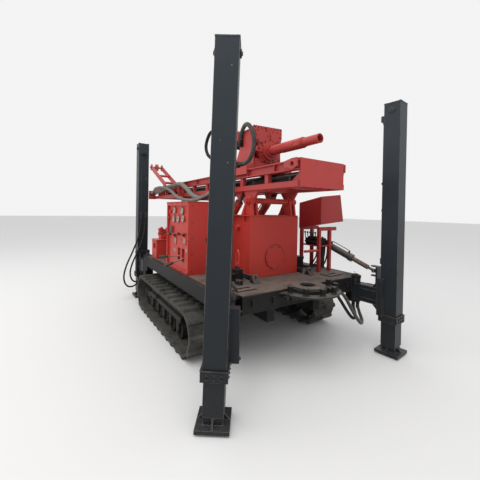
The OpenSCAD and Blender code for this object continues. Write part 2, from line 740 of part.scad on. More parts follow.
tank_x0 = 560;
tank_x1 = 940;
tank_top = 1420;
module hydraulic_tank() placed() color(RED) {
    y0 = -260;
    y1 = 400;
    block([tank_x0, y0, deck_z], [tank_x1, y1, tank_top]);
    // Cover plate, breather, return filter and level glass
    block([tank_x0 + 60, y0 + 200, tank_top - 1], [tank_x1 - 60, y1 - 60, tank_top + 12]);
    translate([tank_x0 + 90, y0 + 110, tank_top - 1]) cylinder(h = 34, r = 36);
    translate([tank_x0 + 90, y0 + 110, tank_top + 32]) cylinder(h = 36, r = 50);
    translate([tank_x1 - 110, y0 + 110, tank_top - 1]) cylinder(h = 90, r = 62);
    translate([tank_x1 - 110, y0 + 110, tank_top + 88]) cylinder(h = 14, r = 72);
    block([tank_x1 - 1, y0 + 90, tank_top - 260], [tank_x1 + 14, y0 + 130, tank_top - 60]);
    for (y = [y0 + 30, y1 - 60]) block([tank_x0 - 6, y, deck_z], [tank_x0 + 1, y + 30, tank_top]);
}

module fuel_tank() placed() color(RED) {
    y0 = 470;
    y1 = 960;
    top = 1300;
    block([tank_x0, y0, deck_z], [tank_x1, y1, top]);
    for (y = [y0 + 90, y1 - 130]) {
        block([tank_x0 - 7, y, deck_z], [tank_x1 + 7, y + 40, top - 10]);
        block([tank_x0 - 7, y, top - 12], [tank_x1 + 7, y + 40, top + 7]);
    }
    translate([tank_x0 + 140, (y0 + y1) / 2, top - 1]) cylinder(h = 40, r = 38);
    translate([tank_x0 + 140, (y0 + y1) / 2, top + 38]) cylinder(h = 22, r = 48);
    block([tank_x1 - 1, y0 + 30, deck_z + 60], [tank_x1 + 12, y0 + 54, top - 60]);
}

// Control console
console_x = -953;
console_y = -620;
gauge_face = 28;
gauges = [[-376, 788], [-100, 790], [-404, 685], [-234, 679], [-74, 674]];
knobs = [[58, 776, 14], [120, 680, 12]];
module console() placed() color(RED) {
    end_y = console_y + console_l;
    face = console_x + gauge_face;
    difference() {
        block([console_x, console_y, deck_z], [console_x + console_w, end_y, deck_z + console_h]);
        block([console_x - 1, console_y + 25, deck_z + 30], [face, end_y - 30, deck_z + console_h - 45]);
        // Slots of the long levers
        for (y = [-446, -300]) block([face - 1, y, deck_z + 130], [face + 60, y + 90, deck_z + 300]);
    }
    // Gauge rims, knobs and the meter
    for (g = gauges) bar_x(face - 16, face + 1, g[0], deck_z + g[1], 46);
    for (k = knobs) {
        bar_x(face - 14, face + 1, k[0], deck_z + k[1], k[2]);
        bar_x(face - 26, face - 13, k[0], deck_z + k[1], k[2] + 8);
    }
    block([face - 22, -40, deck_z + 480], [face + 1, 60, deck_z + 570]);
    // Small levers on their plates
    for (p = [[-129, 452], [-454, 478]]) {
        block([face - 8, p[0] - 40, deck_z + p[1] - 120], [face + 1, p[0] + 40, deck_z + p[1] + 30]);
        bar([face - 4, p[0], deck_z + p[1]], [face - 74, p[0] + 10, deck_z + p[1] + 18], 9);
        bar([face - 72, p[0] + 10, deck_z + p[1] + 18], [face - 96, p[0] + 13, deck_z + p[1] + 24], 15);
    }
    // Long levers with their grips
    for (l = [[-401, 194, -375, 96], [-255, 190, -140, 178]]) {
        a = [face + 64, l[0], deck_z + l[1]];
        b = [console_x - 200, l[2], deck_z + l[3]];
        bar(a, b, 9);
        bar(b + unit(a - b) * 110, b, 16);
    }
    // Rim of the top, lifting eyes and the door's hinges on the far side
    block([console_x - 8, console_y - 6, deck_z + console_h - 1],
          [console_x + console_w + 6, end_y + 6, deck_z + console_h + 6]);
    for (z = [160, 720]) bar([console_x + console_w + 6, end_y - 40, deck_z + z],
                             [console_x + console_w + 6, end_y - 40, deck_z + z + 80], 9);
}

// Valve stand
hood_x0 = 630;
hood_x1 = 1020;
hood_y0 = -1286;
hood_y1 = -890;
hood_t = 6;
// Heights of the hood's sheets above the deck: rear, fold and right end
hood_low = [570, 635, 675];
hood_high = [930, 1005, 1045];
shelf_z = 1180;
stand_x1 = 885;
module valve_stand() placed() color(RED) {
    low = [for (z = hood_low) z + deck_z];
    high = [for (z = hood_high) z + deck_z];
    // Side sheet, front sheet with its flared lower corner, and top sheet
    side_plate(hood_x0, hood_x0 + hood_t)
        polygon([[hood_y0, low[1]], [hood_y0, high[1]], [hood_y1, high[0]], [hood_y1, low[0]]]);
    cross_plate(hood_y0, hood_y0 + hood_t)
        polygon([[hood_x0, low[1]], [hood_x0, high[1]], [hood_x1, high[2]], [hood_x1 + 70, low[2]]]);
    hull() {
        block([hood_x0, hood_y0, high[1] - hood_t], [hood_x0 + 1, hood_y0 + 1, high[1]]);
        block([hood_x1 - 1, hood_y0, high[2] - hood_t], [hood_x1, hood_y0 + 1, high[2]]);
        block([hood_x0, hood_y1 - 1, high[0] - hood_t], [hood_x0 + 1, hood_y1, high[0]]);
        block([hood_x1 - 1, hood_y1 - 1, high[0] + 34], [hood_x1, hood_y1, high[0] + 40]);
    }
    // Posts, shelf and rails of the stand
    for (x = [hood_x0 + 7, stand_x1 - 40]) for (y = [hood_y0 + 30, hood_y1 - 50])
        block([x, y, deck_z], [x + 40, y + 40, low[0] + 30]);
    block([hood_x0 + 7, hood_y0 + 30, shelf_z - 12], [stand_x1, hood_y1 - 10, shelf_z]);
    for (y = [hood_y0 + 34, hood_y1 - 46])
        block([hood_x0 + 6, y, low[0] - 20], [hood_x1 - 30, y + 30, low[0] + 29]);
    bar_x(hood_x0 - 190, hood_x0 + 8, hood_y0 + 50, shelf_z - 60, 16);
}

// Hydraulic valves: the bank on the stand's shelf and the block of the front jacks
valve_count = 5;
module valve_bank() placed() color(DARK) {
    pitch = 46;
    x0 = hood_x0 + 55;
    y0 = hood_y0 + 82;
    for (i = [0 : valve_count - 1]) {
        y = y0 + i * pitch;
        block([x0, y, shelf_z], [x0 + 150, y + pitch - 4, shelf_z + 90]);
        bar_x(x0 + 149, x0 + 200, y + 21, shelf_z + 45, 17);
        bar_x(x0 - 30, x0 + 1, y + 21, shelf_z + 45, 14);
        for (x = [x0 + 45, x0 + 105]) translate([x, y + 21, shelf_z + 89]) cylinder(h = 22, r = 13);
        bar([x0 - 24, y + 21, shelf_z + 45], [x0 - 44, y + 21, shelf_z + 170], 6);
        translate([x0 - 44, y + 21, shelf_z + 170]) sphere(r = 13);
    }
    block([x0 + 2, y0 - 10, shelf_z], [x0 + 148, y0 + valve_count * pitch + 6, shelf_z + 60]);
    block([-600, -1180, deck_z], [-516, -1060, deck_z + 140]);
    for (y = [-1150, -1090]) {
        bar([-558, y, deck_z + 139], [-558, y, deck_z + 166], 15);
        bar_x(-640, -599, y, deck_z + 90, 14);
    }
}

module battery_box() placed() color(BLACK) {
    low = [430, -1010];
    high = [600, -700];
    top = 1010;
    block([low[0], low[1], deck_z], [high[0], high[1], top - 30]);
    block([low[0] - 8, low[1] - 8, top - 31], [high[0] + 8, high[1] + 8, top]);
    for (y = [low[1] + 60, high[1] - 76]) block([low[0] - 14, y, deck_z + 60], [low[0] + 1, y + 16, top - 40]);
    bar_y((low[0] + high[0]) / 2, low[1] + 110, high[1] - 110, top + 26, 8);
    for (y = [low[1] + 110, high[1] - 110])
        bar([(low[0] + high[0]) / 2, y, top - 1], [(low[0] + high[0]) / 2, y, top + 26], 8);
}

module pump_box() placed() color(RED) {
    low = [-940, 700];
    high = [-600, 950];
    top = 1130;
    difference() {
        block([low[0], low[1], deck_z], [high[0], high[1], top]);
        block([low[0] - 1, low[1] + 40, deck_z + 160], [low[0] + 30, high[1] - 60, top - 60]);
    }
    block([low[0] - 10, low[1] - 10, top - 1], [high[0] + 10, high[1] + 10, top + 8]);
    // Small compressor: crankcase, two finned cylinders, pulley and its guard
    block([-850, 760, top + 7], [-700, 890, top + 80]);
    for (s = [-1, 1]) translate([-775, 825, top + 70]) rotate([0, s * 32, 0]) {
        cylinder(h = 130, r = 34);
        for (z = [38 : 15 : 115]) translate([0, 0, z]) cylinder(h = 6, r = 46);
        translate([0, 0, 128]) cylinder(h = 16, r = 40);
    }
    bar_y(-775, 888, 930, top + 90, 78);
    bar_y(-775, 740, 762, top + 60, 30);
}

module mast_rest() placed() color(RED) {
    rest_y = 1090;
    both_sides() {
        block([300, rest_y, deck_z], [360, rest_y + 60, mast_low - 60]);
        block([280, rest_y - 10, deck_z], [380, rest_y + 80, deck_z + 12]);
        side_plate(326, 334) polygon([[rest_y + 59, deck_z + 11], [rest_y + 110, deck_z + 11], [rest_y + 59, deck_z + 200]]);
    }
    block([-360, rest_y, mast_low - 60], [360, rest_y + 60, mast_low - seat]);
}

// Swing cylinders
function on_arm(p, a) = [p[0] * cos(a) + p[1] * sin(a), p[1] * cos(a) - p[0] * sin(a), p[2]];
function swing(c) = c[1] == 1 ? REAR_SWING : c[0] == 1 ? FRONT_SWING : FRONT_LEFT_SWING;
function swing_root(c) = swing(c)[0];
function swing_eye(c) = on_arm(swing(c)[1], c[2]);
function unit(v) = v / norm(v);
function swing_dir(c) = unit(swing_eye(c) - swing_root(c));
// Axis on which a cylinder follows its arm from one end of the swing to the other
function swing_axis(c) = unit(cross(on_arm(swing(c)[1], swing_range) - swing_root(c),
                                    swing(c)[1] - swing_root(c)));

// The barrels start this far from their root's pin, on a neck between the cheeks
neck_len = 48;
neck_r = 22;

// A frame at a cylinder's root: first axis along the barrel, third axis its pin
module at_root(c) {
    n = swing_axis(c);
    d = swing_dir(c);
    u = unit(d - n * (d * n));
    v = cross(n, u);
    r = swing_root(c);
    multmatrix([[u[0], v[0], n[0], r[0]], [u[1], v[1], n[1], r[1]], [u[2], v[2], n[2], r[2]],
                [0, 0, 0, 1]]) children();
}

// Two cheeks and the web behind them
module root_fork(web) {
    cheek_z = root_eye_h / 2 + side_gap;
    for (s = [0, 1]) mirror([0, 0, s]) translate([0, 0, cheek_z]) linear_extrude(clevis_t) {
        circle(r = root_eye_r);
        translate([-web, -root_eye_r]) square([web, 2 * root_eye_r]);
    }
    block([-web - 20, -root_eye_r, -cheek_z - clevis_t], [-web + 1, root_eye_r, cheek_z + clevis_t]);
    cylinder(h = 2 * cheek_z + 1, r = swing_pin_r, center = true);
}

module cylinder_brackets() placed() color(BLACK) {
    // Stands of the mast raising cylinders
    for (s = [-1, 1]) {
        for (d = [-1, 1]) side_plate(s * tilt_x + d * 50 - 10, s * tilt_x + d * 50 + 10) {
            translate(tilt_base) circle(r = 60);
            polygon([tilt_base + [-60, 0], tilt_base + [60, 0], [tilt_base[0] + 130, deck_z],
                     [tilt_base[0] - 110, deck_z]]);
        }
        bar_x(s * tilt_x - 60, s * tilt_x + 60, tilt_base[0], tilt_base[1], tilt_pin_r);
    }
    // Posts of the front swing cylinders
    for (c = [FRONT_LEFT, FRONT_RIGHT]) at_corner(c) {
        at_root(c) root_fork(60);
        translate([swing_root(c)[0], swing_root(c)[1] - 80, 0])
            block([-45, -40, deck_z], [45, 30, swing_root(c)[2] + 40]);
    }
    // Brackets of the rear swing cylinders on the rear skirt
    for (c = [REAR_LEFT, REAR_RIGHT]) at_corner(c) {
        r = swing_root(c);
        face = deck_rear - rear_pivot_y;
        for (s = [-1, 1]) translate([r[0], 0, r[2] + s * (root_eye_h / 2 + side_gap + clevis_t / 2)])
            linear_extrude(clevis_t, center = true) {
                translate([0, r[1]]) circle(r = root_eye_r);
                translate([-root_eye_r, face]) square([2 * root_eye_r, r[1] - face]);
            }
        translate([r[0], r[1], r[2]]) cylinder(h = root_eye_h + 4, r = swing_pin_r, center = true);
        block([r[0] - root_eye_r, face, r[2] - root_eye_h / 2 - side_gap - clevis_t],
              [r[0] + root_eye_r, face + 14, under_deck - 20]);
    }
}

// Mast
module girder() {
    y0 = -mast_foot_y + foot_t_plate;
    z0 = girder_low;
    z1 = girder_low + girder_h;
    x0 = mast_half - girder_w;
    block([x0, y0, z0], [mast_half, mast_end_y, z0 + girder_t]);
    block([x0, y0, z1 - girder_t], [mast_half, mast_end_y, z1]);
    block([girder_x - 6, y0, z0], [girder_x + 6, mast_end_y, z1]);
    for (i = [0 : 8]) block([x0 + 6, y0 + 357 + i * 500, z0], [mast_half - 6, y0 + 367 + i * 500, z1]);
}

module mast_frame() placed() color(RED) {
    y0 = -mast_foot_y + foot_t_plate;
    both_sides() {
        girder();
        block([mast_half - girder_w, y0, mast_low], [mast_half, mast_end_y, mast_low + lower_h]);
        for (i = [0 : 8])
            block([mast_half - 64, y0 + 470 + i * 500, mast_low + lower_h - 1],
                  [mast_half - 16, y0 + 530 + i * 500, girder_low + 1]);
        // Hinge lug under the lower beam
        side_plate(bracket_x - bracket_gap + side_gap, bracket_x + bracket_gap - side_gap) difference() {
            union() {
                translate([-hinge_y, hinge_z]) circle(r = 60);
                polygon([[-hinge_y - 60, hinge_z], [-hinge_y + 60, hinge_z],
                         [-hinge_y + 150, mast_low + 1], [-hinge_y - 150, mast_low + 1]]);
            }
            translate([-hinge_y, hinge_z]) circle(r = hinge_d / 2 + fit);
        }
        // Lug of the raising cylinder, beside its rod's eye
        for (d = [-1, 1]) side_plate(tilt_x + d * 50 - 8, tilt_x + d * 50 + 8) {
            translate(tilt_pin) circle(r = 45);
            polygon([[tilt_pin[0] - 45, tilt_pin[1]], [tilt_pin[0] + 45, tilt_pin[1]],
                     [tilt_pin[0] + 80, mast_low + 1], [tilt_pin[0] - 80, mast_low + 1]]);
        }
    }
    // Plates with the glands of the hoses beside the mast, and a saddle between them
    for (y = [2700, -652]) {
        block([-540, y, 1860], [-mast_half - 35, y + 12, 2050]);
        block([-mast_half - 36, y, mast_low + 4], [-mast_half + 1, y + 12, mast_low + lower_h - 4]);
    }
    bar_y(-425, 2660, 2701, 2000, large_hose_d / 2 + 4);
    bar_y(-505, 2660, 2701, 2000, head_hose_d / 2 + 6);
    bar_y(-425, -641, -600, 2000, large_hose_d / 2 + 4);
    bar_y(-505, -641, -600, 1900, head_hose_d / 2 + 6);
    block([-460, 1052, mast_low + 4], [-mast_half - 30, 1072, 2095 - large_hose_d / 2 - 1.5]);
    block([-mast_half - 31, 1052, mast_low + 4], [-mast_half + 1, 1072, mast_low + lower_h - 4]);
    for (y = [-1650, -1000, tilt_pin[0], 100, 800, 1500, 2200, 2850])
        block([-mast_half + girder_w - 1, y - 60, mast_low], [mast_half - girder_w + 1, y + 60, mast_low + lower_h]);
    block([-mast_half + girder_w - 1, head_stop_y, mast_low + lower_h - 1],
          [mast_half - girder_w + 1, head_stop_y + 12, girder_low + girder_h - girder_t]);
}

module mast_foot() placed() color(RED) {
    y0 = -mast_foot_y;
    top = girder_low + girder_h + 17;
    lug_z = 2100;
    lug_at = y0 + 72;
    block([-mast_half + 25, y0, mast_low], [mast_half - 25, y0 + foot_t_plate, top]);
    block([-mast_half + 25, y0 + foot_t_plate - 1, top - 10], [mast_half - 25, y0 + 70, top]);
    both_sides() {
        side_plate(mast_half, mast_half + 20) difference() {
            union() {
                translate([lug_at, lug_z]) circle(r = 54);
                polygon([[y0 + foot_t_plate - 4, lug_z - 30], [lug_at, lug_z - 54], [lug_at + 120, lug_z - 20],
                         [lug_at + 120, lug_z + 34], [lug_at, lug_z + 54], [y0 + foot_t_plate - 4, lug_z + 54]]);
            }
            translate([lug_at, lug_z]) circle(r = 20);
        }
        // Corner ribs behind the foot's plate
        side_plate(mast_half - 60, mast_half - 50)
            polygon([[y0 + foot_t_plate - 1, mast_low + lower_h], [y0 + 150, mast_low + lower_h],
                     [y0 + foot_t_plate - 1, girder_low]]);
    }
}

module feed_drive() placed() color(STEEL) {
    y0 = -mast_foot_y + foot_t_plate;
    tube_z = mast_low + 125;
    chain_z = girder_low + 50;
    joint_y = head_stop_y - 1180;
    bar_y(0, y0, joint_y, tube_z, 60);
    bar_y(0, joint_y - 50, joint_y, tube_z, 64);
    bar_y(0, joint_y, head_stop_y, tube_z, 35);
    for (x = [-170, 170]) {
        block([x - 12, y0 + 90, chain_z], [x + 12, head_stop_y - 80, chain_z + 20]);
        block([x - 12, y0 + 90, chain_z - 100], [x + 12, head_stop_y - 80, chain_z - 80]);
        for (y = [y0 + 90, head_stop_y - 80]) {
            bar_x(x - 12, x + 12, y, chain_z - 40, 60);
            bar_x(x - 40, x + 40, y, chain_z - 40, 20);
        }
        // Bearing blocks at the chain wheels
        for (y = [y0, head_stop_y - 90]) for (d = [-34, 24])
            block([x + d, y, chain_z - 62], [x + d + 10, y + 90, chain_z - 18]);
    }
}

module jib() placed() color(RED) {
    both_sides() side_plate(130, 150) {
        translate([jib_y0, jib_z0]) rotate(jib_rise) translate([0, -jib_depth / 2]) square([jib_len, jib_depth]);
        translate([jib_tip_y, jib_tip_z]) circle(r = jib_tip_r - 10);
        polygon([[jib_y0 - 60, girder_low + girder_h], [jib_y0 + 180, girder_low + girder_h],
                 [jib_y0 + 120, jib_z0 + 60], [jib_y0, jib_z0 + 60]]);
    }
    bar_x(-131, 131, jib_tip_y, jib_tip_z, 25);
    bar_x(-30, 30, jib_tip_y, jib_tip_z, jib_tip_r);
    for (d = [150, 650]) bar_x(-131, 131, jib_y0 + d * cos(jib_rise), jib_z0 + d * sin(jib_rise), 30);
    both_sides() block([130, jib_y0 - 60, girder_low + girder_h],
                       [mast_half - 10, jib_y0 + 180, girder_low + girder_h + 12]);
}

module tilt_line(s, d0, d1, r) {
    u = unit(tilt_pin - tilt_base);
    a = [s * tilt_x, tilt_base[0], tilt_base[1]];
    bar(a + [0, u[0], u[1]] * d0, a + [0, u[0], u[1]] * d1, r);
}

module tilt_barrels() placed() color(RED) for (s = [-1, 1]) difference() {
    union() {
        tilt_line(s, 0, tilt_neck + 2, 30);
        tilt_line(s, tilt_neck, tilt_barrel_len, tilt_bore_r);
        bar_x(s * tilt_x - 35, s * tilt_x + 35, tilt_base[0], tilt_base[1], 48);
    }
    bar_x(s * tilt_x - 60, s * tilt_x + 60, tilt_base[0], tilt_base[1], tilt_pin_r + fit);
    tilt_line(s, tilt_neck + 10, tilt_barrel_len + 1, tilt_rod_r + fit);
}

module tilt_rods() placed() color(STEEL) for (s = [-1, 1]) difference() {
    len = norm(tilt_pin - tilt_base);
    union() {
        tilt_line(s, len - tilt_rod_len, len, tilt_rod_r);
        bar_x(s * tilt_x - 30, s * tilt_x + 30, tilt_pin[0], tilt_pin[1], 40);
    }
    bar_x(s * tilt_x - 36, s * tilt_x + 36, tilt_pin[0], tilt_pin[1], 22);
}

// Rotary head
head_plate = [[-237, 303], [218, 322], [218, 193], [192, 90], [196, -70], [112, -132], [-112, -132],
              [-150, -50], [-160, 90], [-237, 185]];
module head_outline() {
    translate([0, spindle_z]) {
        polygon(head_plate);
        circle(r = 150);
    }
}

module rotary_head() placed() color(RED) {
    base_z = girder_low + girder_h;
    difference() {
        union() {
            cross_plate(head_y0, head_y0 + 30) head_outline();
            cross_plate(head_y1 - 24, head_y1) head_outline();
            cross_plate(head_y0 + 29, head_y1 - 23) offset(delta = -16) head_outline();
            // Round flange, bearing ring and the raised rounds of the gear case
            bar_y(0, head_y0 - head_flange_t, head_y0 + 1, spindle_z, head_flange_r);
            bar_y(0, head_y0 - 14, head_y0 + 1, spindle_z, head_flange_r + 28);
            bar_y(-118, head_y0 - 12, head_y0 + 1, spindle_z + 190, 96);
            bar_y(98, head_y0 - 9, head_y0 + 1, spindle_z + 200, 82);
            bar_y(60, head_y0 - 16, head_y0 + 1, spindle_z + 96, 26);
            bar_y(-34, head_y0 - 16, head_y0 + 1, spindle_z + 290, 20);
            // Side webs that widen down to the carriage, and its block
            both_sides() side_plate(205, 223)
                polygon([[head_y0 + 40, spindle_z + 262], [head_y0 + 240, spindle_z + 262],
                         [head_y1 + 110, base_z + 30], [head_y0 + 20, base_z + 30]]);
            block([-200, head_y0 + 20, base_z + 30], [200, head_y1 + 40, spindle_z - 99]);
            for (y = [head_y0 + 130, head_y1 - 90]) block([-206, y, base_z + 30], [206, y + 14, spindle_z]);
            // Eared lug beside the flange
            cross_plate(head_y0 - 26, head_y0 + 1) difference() {
                union() {
                    translate([-178, spindle_z + 14]) circle(r = 36);
                    translate([-178, spindle_z - 22]) square([90, 72]);
                }
                translate([-178, spindle_z + 14]) circle(r = 15);
            }
        }
        bar_y(0, head_y0 - head_flange_t - 1, head_y0 + 80, spindle_z, 60 + fit);
    }
    block([-mast_half - 20, head_y0 - 40, base_z + seat], [mast_half + 20, head_y1 + 120, base_z + 31]);
    both_sides() block([mast_half + 5, head_y0 - 40, girder_low + 40],
                       [mast_half + 20, head_y1 + 120, base_z + 3]);
}
head_flange_r = 114;
head_flange_t = 50;

module drive_motors() placed() color(BLACK) {
    motor_z = spindle_z + 165;
    for (x = [-110, 96]) {
        block([x - 78, head_y1, motor_z - 78], [x + 78, head_y1 + 22, motor_z + 78]);
        bar_y(x, head_y1 + 21, head_y1 + 150, motor_z, 66);
        bar_y(x, head_y1 + 149, head_y1 + 196, motor_z, 52);
        block([x - 46, head_y1 + 60, motor_z + 50], [x + 46, head_y1 + 120, motor_z + 92]);
        for (d = [-24, 24]) translate([x + d, head_y1 + 90, motor_z + 91]) cylinder(h = 26, r = 14);
    }
    // Glands of the head's hoses
    carriage_z = girder_low + girder_h + 31;
    block([-196, head_y1 + 60, motor_z + 35], [-155, head_y1 + 120, motor_z + 107]);
    bar_y(-176, head_y1 + 119, head_y1 + 150, motor_z + 71, head_hose_d / 2 + 2);
    block([-275, head_y1 - 130, spindle_z + 80], [-223, head_y1 - 90, spindle_z + 130]);
    translate([-249, head_y1 - 110, spindle_z + 129]) cylinder(h = 31, r = head_hose_d / 2 + 1);
    for (g = [[head_y1 + 60, head_y1 + 99, head_y1 + 130], [head_y1 - 200, head_y1 - 230, head_y1 - 199]]) {
        block([-352, g[0], carriage_z], [-308, g[0] + 40, carriage_z + 88]);
        bar_y(-330, g[1], g[2], carriage_z + 54, head_hose_d / 2 + 3);
    }
    // Swivel with its gooseneck
    bar_y(0, head_y1, head_y1 + 60, spindle_z - 20, 78);
    bar_y(0, head_y1 + 59, head_y1 + 150, spindle_z - 20, 52);
    bar([0, head_y1 + 120, spindle_z - 20], [0, head_y1 + 200, spindle_z + 50], 30);
    bar([0, head_y1 + 190, spindle_z + 44], [0, head_y1 + 200, spindle_z + 92], 34);
}

module spindle() placed() color(RED) difference() {
    face = head_y0 - head_flange_t;
    union() {
        bar_y(0, face - 2, head_y0 + 79, spindle_z, 60);
        bar_y(0, face - 26, face - 1, spindle_z, 84);
        bar_y(0, spindle_step[0], face - 25, spindle_z, spindle_d / 2 - 4);
        bar_y(0, spindle_step[1], spindle_step[0] + 1, spindle_z, spindle_d / 2);
        bar_y(0, -spindle_tip, spindle_step[1] + 1, spindle_z, pipe_d / 2);
        bar_y(0, spindle_step[1] - 24, spindle_step[1] + 1, spindle_z, pipe_d / 2 + 6);
    }
    bar_y(0, -spindle_tip - 1, -spindle_tip + pipe_bore_len, spindle_z, pipe_bore / 2);
    // Flats for the spanner
    both_sides() block([spindle_d / 2 - 5, spindle_step[1] + 30, spindle_z - 60],
                       [spindle_d, spindle_step[1] + 110, spindle_z + 60]);
}
spindle_step = [-1231, -1563];

// Outriggers
// Cheeks above and below the swing rod's eye, joined to the arm
module rod_clevis(c) {
    e = swing(c)[1];
    side = c[1] == -1 ? [0, 1] : [1, 0];
    reach = c[1] == -1 ? clevis_reach : 52;
    for (s = [-1, 1]) translate([0, 0, e[2] + s * (clevis_gap + clevis_t) / 2])
        linear_extrude(clevis_t, center = true) {
            translate([e[0], e[1]]) circle(r = clevis_r);
            if (c[1] == -1) translate([e[0] - clevis_r, e[1]]) square([2 * clevis_r, reach]);
            else translate([e[0], e[1] - clevis_r]) square([reach, 2 * clevis_r]);
        }
    if (c[1] == -1) block([40, e[1] + reach - 1, arm_z0 + arm_h - 1],
                          [e[0] + clevis_r, e[1] + reach + 20, e[2] + clevis_gap / 2 + clevis_t]);
}

// The frame of a leg tube: the middle of its top, turned by its lean
module at_leg(c) {
    translate([0, arm_len, c[4]]) rotate([0, -c[3], 0]) translate([0, 0, -c[4]]) children();
}

clamp_half = 120;
clamp_z = [440, 870];
module arm(c) placed() color(BLACK) at_arm(c) {
    y_leg = arm_len - leg_w / 2;
    difference() {
        union() {
            translate([0, 0, low_lug_z + low_lug_t + side_gap])
                cylinder(h = deck_z - top_lug_t - low_lug_z - low_lug_t - 2 * side_gap, r = arm_tube_r);
            translate([-70, 30, arm_z0]) cube([140, y_leg - 29, arm_h]);
            // Ribs along the arm's box
            for (z = [arm_z0 + 40, arm_z0 + arm_h - 52]) translate([-78, 110, z]) cube([156, y_leg - 120, 12]);
        }
        translate([0, 0, low_lug_z]) cylinder(h = deck_z, r = pin_r + fit);
    }
    // Clamp that holds the tube, with its gussets
    difference() {
        block([-clamp_half, y_leg - 30, clamp_z[0]], [clamp_half, y_leg + 40, clamp_z[1]]);
        at_leg(c) block([-leg_w / 2 + 1, -leg_w / 2 + 1, 0], [leg_w / 2 - 1, leg_w / 2 - 1, c[4] - 20]);
    }
    for (x = [-70, 58]) side_plate(x, x + 12)
        polygon([[y_leg - 110, arm_z0 + arm_h - 1], [y_leg - 29, arm_z0 + arm_h - 1], [y_leg - 29, clamp_z[1] - 20]]);
    for (x = [-70, 58]) side_plate(x, x + 12)
        polygon([[y_leg - 110, arm_z0 + 1], [y_leg - 29, arm_z0 + 1], [y_leg - 29, clamp_z[0] + 20]]);
    if (c == REAR_LEFT) for (g = [[40, 270], [10, 230]])
        translate([g[0], g[1], arm_z0 - 35]) cylinder(h = 36, r = leg_hose_d / 2 + 3);
    rod_clevis(c);
    at_leg(c) leg_tube(c);
}

// Leg tube with its collar, its top plate, cross pin bosses and the valve near its foot
module leg_tube(c) {
    top = c[4];
    outer = leg_w / 2;
    difference() {
        block([-outer, -outer, leg_bottom], [outer, outer, top]);
        block([-outer + leg_wall, -outer + leg_wall, leg_bottom - 1],
              [outer - leg_wall, outer - leg_wall, top - 10]);
    }
    difference() {
        block([-outer - collar_t, -outer - collar_t, leg_bottom],
              [outer + collar_t, outer + collar_t, leg_bottom + collar_h]);
        block([-outer + 1, -outer + 1, leg_bottom - 1], [outer - 1, outer - 1, leg_bottom + collar_h + 1]);
    }
    for (s = [-1, 1]) {
        bar_x(s * (outer + 6) - 8, s * (outer + 6) + 8, 0, top - 85, 32);
        bar_x(s * (outer + 16) - 6, s * (outer + 16) + 6, 0, top - 85, 16);
    }
    block([-outer - 4, -outer - 4, top - 8], [outer + 4, outer + 4, top]);
    translate([0, 0, top - 1]) cylinder(h = 15, r = 20);
    // Pipes of the leg's cylinder on the face towards the machine
    pipe_z = c[1] == 1 ? 1500 : clamp_z[1] + 160;
    for (x = [-40, 40]) {
        translate([x, -outer - 17, pipe_z]) cylinder(h = top - pipe_z - 140, r = 9);
        translate([x, -outer - 17, pipe_z]) cylinder(h = 34, r = leg_hose_d / 2 + 2);
        for (z = [pipe_z + 40, (pipe_z + top) / 2, top - 160])
            block([x - 18, -outer - 28, z], [x + 18, -outer + 1, z + 26]);
    }
    block([-70, -outer - 42, top - 200], [70, -outer + 1, top - 130]);
}

module leg(c) placed() color(DARK) at_arm(c) {
    shift = (c[4] - foot_gap - foot_t) * sin(c[3]);
    at_leg(c) block([-inner_w / 2, -inner_w / 2, foot_gap + foot_t + foot_neck],
                    [inner_w / 2, inner_w / 2, foot_gap + foot_t + inner_len]);
    // The foot stays level on its short neck
    translate([shift, arm_len, 0]) {
        block([-inner_w / 2 + 8, -inner_w / 2 + 8, foot_gap + foot_t - 1],
              [inner_w / 2 - 8, inner_w / 2 - 8, foot_gap + foot_t + foot_neck + 12]);
        block([-foot_half, -foot_half, foot_gap], [foot_half, foot_half, foot_gap + foot_t]);
        for (a = [0 : 90 : 270]) rotate(a) side_plate(-6, 6)
            polygon([[inner_w / 2 - 9, foot_gap + foot_t - 1], [foot_half - 8, foot_gap + foot_t - 1],
                     [inner_w / 2 - 9, foot_gap + foot_t + foot_neck]]);
    }
}

module swing_barrel(c) placed() color(DARK) at_corner(c) {
    a = swing_root(c);
    u = swing_dir(c);
    difference() {
        union() {
            bar(a, a + u * (neck_len + 2), neck_r);
            bar(a + u * neck_len, a + u * swing(c)[2], swing_bore_r);
            bar(a + u * (swing(c)[2] - 50), a + u * swing(c)[2], swing_bore_r + 7);
            at_root(c) cylinder(h = root_eye_h, r = root_eye_r - 4, center = true);
        }
        at_root(c) cylinder(h = 2 * root_eye_h, r = swing_pin_r + fit, center = true);
        bar(a + u * (neck_len + 12), a + u * (swing(c)[2] + 1), swing_rod_r + fit);
    }
}

module swing_rod(c) placed() color(STEEL) at_corner(c) {
    b = swing_eye(c);
    u = swing_dir(c);
    difference() {
        union() {
            bar(b - u * swing(c)[3], b - u * 75, swing_rod_r);
            bar(b - u * 76, b, 17);
            translate(b) cylinder(h = rod_eye_h, r = rod_eye_r, center = true);
        }
        translate(b) cylinder(h = 2 * rod_eye_h, r = 14, center = true);
    }
}

// A hose: rings square to its route, side is a direction that the route never takes
module hose(route, d, side) {
    m = len(route) - 1;
    sides = 8;
    points = [for (i = [0 : m])
        let (t = unit(route[min(i + 1, m)] - route[max(i - 1, 0)]), u = unit(cross(t, side)), v = cross(u, t))
        for (k = [0 : sides - 1]) route[i] + d / 2 * (u * cos(360 * k / sides) + v * sin(360 * k / sides))];
    faces = concat(
        [[for (k = [0 : sides - 1]) sides - 1 - k]], [[for (k = [0 : sides - 1]) m * sides + k]],
        [for (i = [0 : m - 1]) for (k = [0 : sides - 1])
            [i * sides + k, i * sides + (k + 1) % sides, (i + 1) * sides + k]],
        [for (i = [0 : m - 1]) for (k = [0 : sides - 1])
            [i * sides + (k + 1) % sides, (i + 1) * sides + (k + 1) % sides, (i + 1) * sides + k]]);
    polyhedron(points, faces);
}

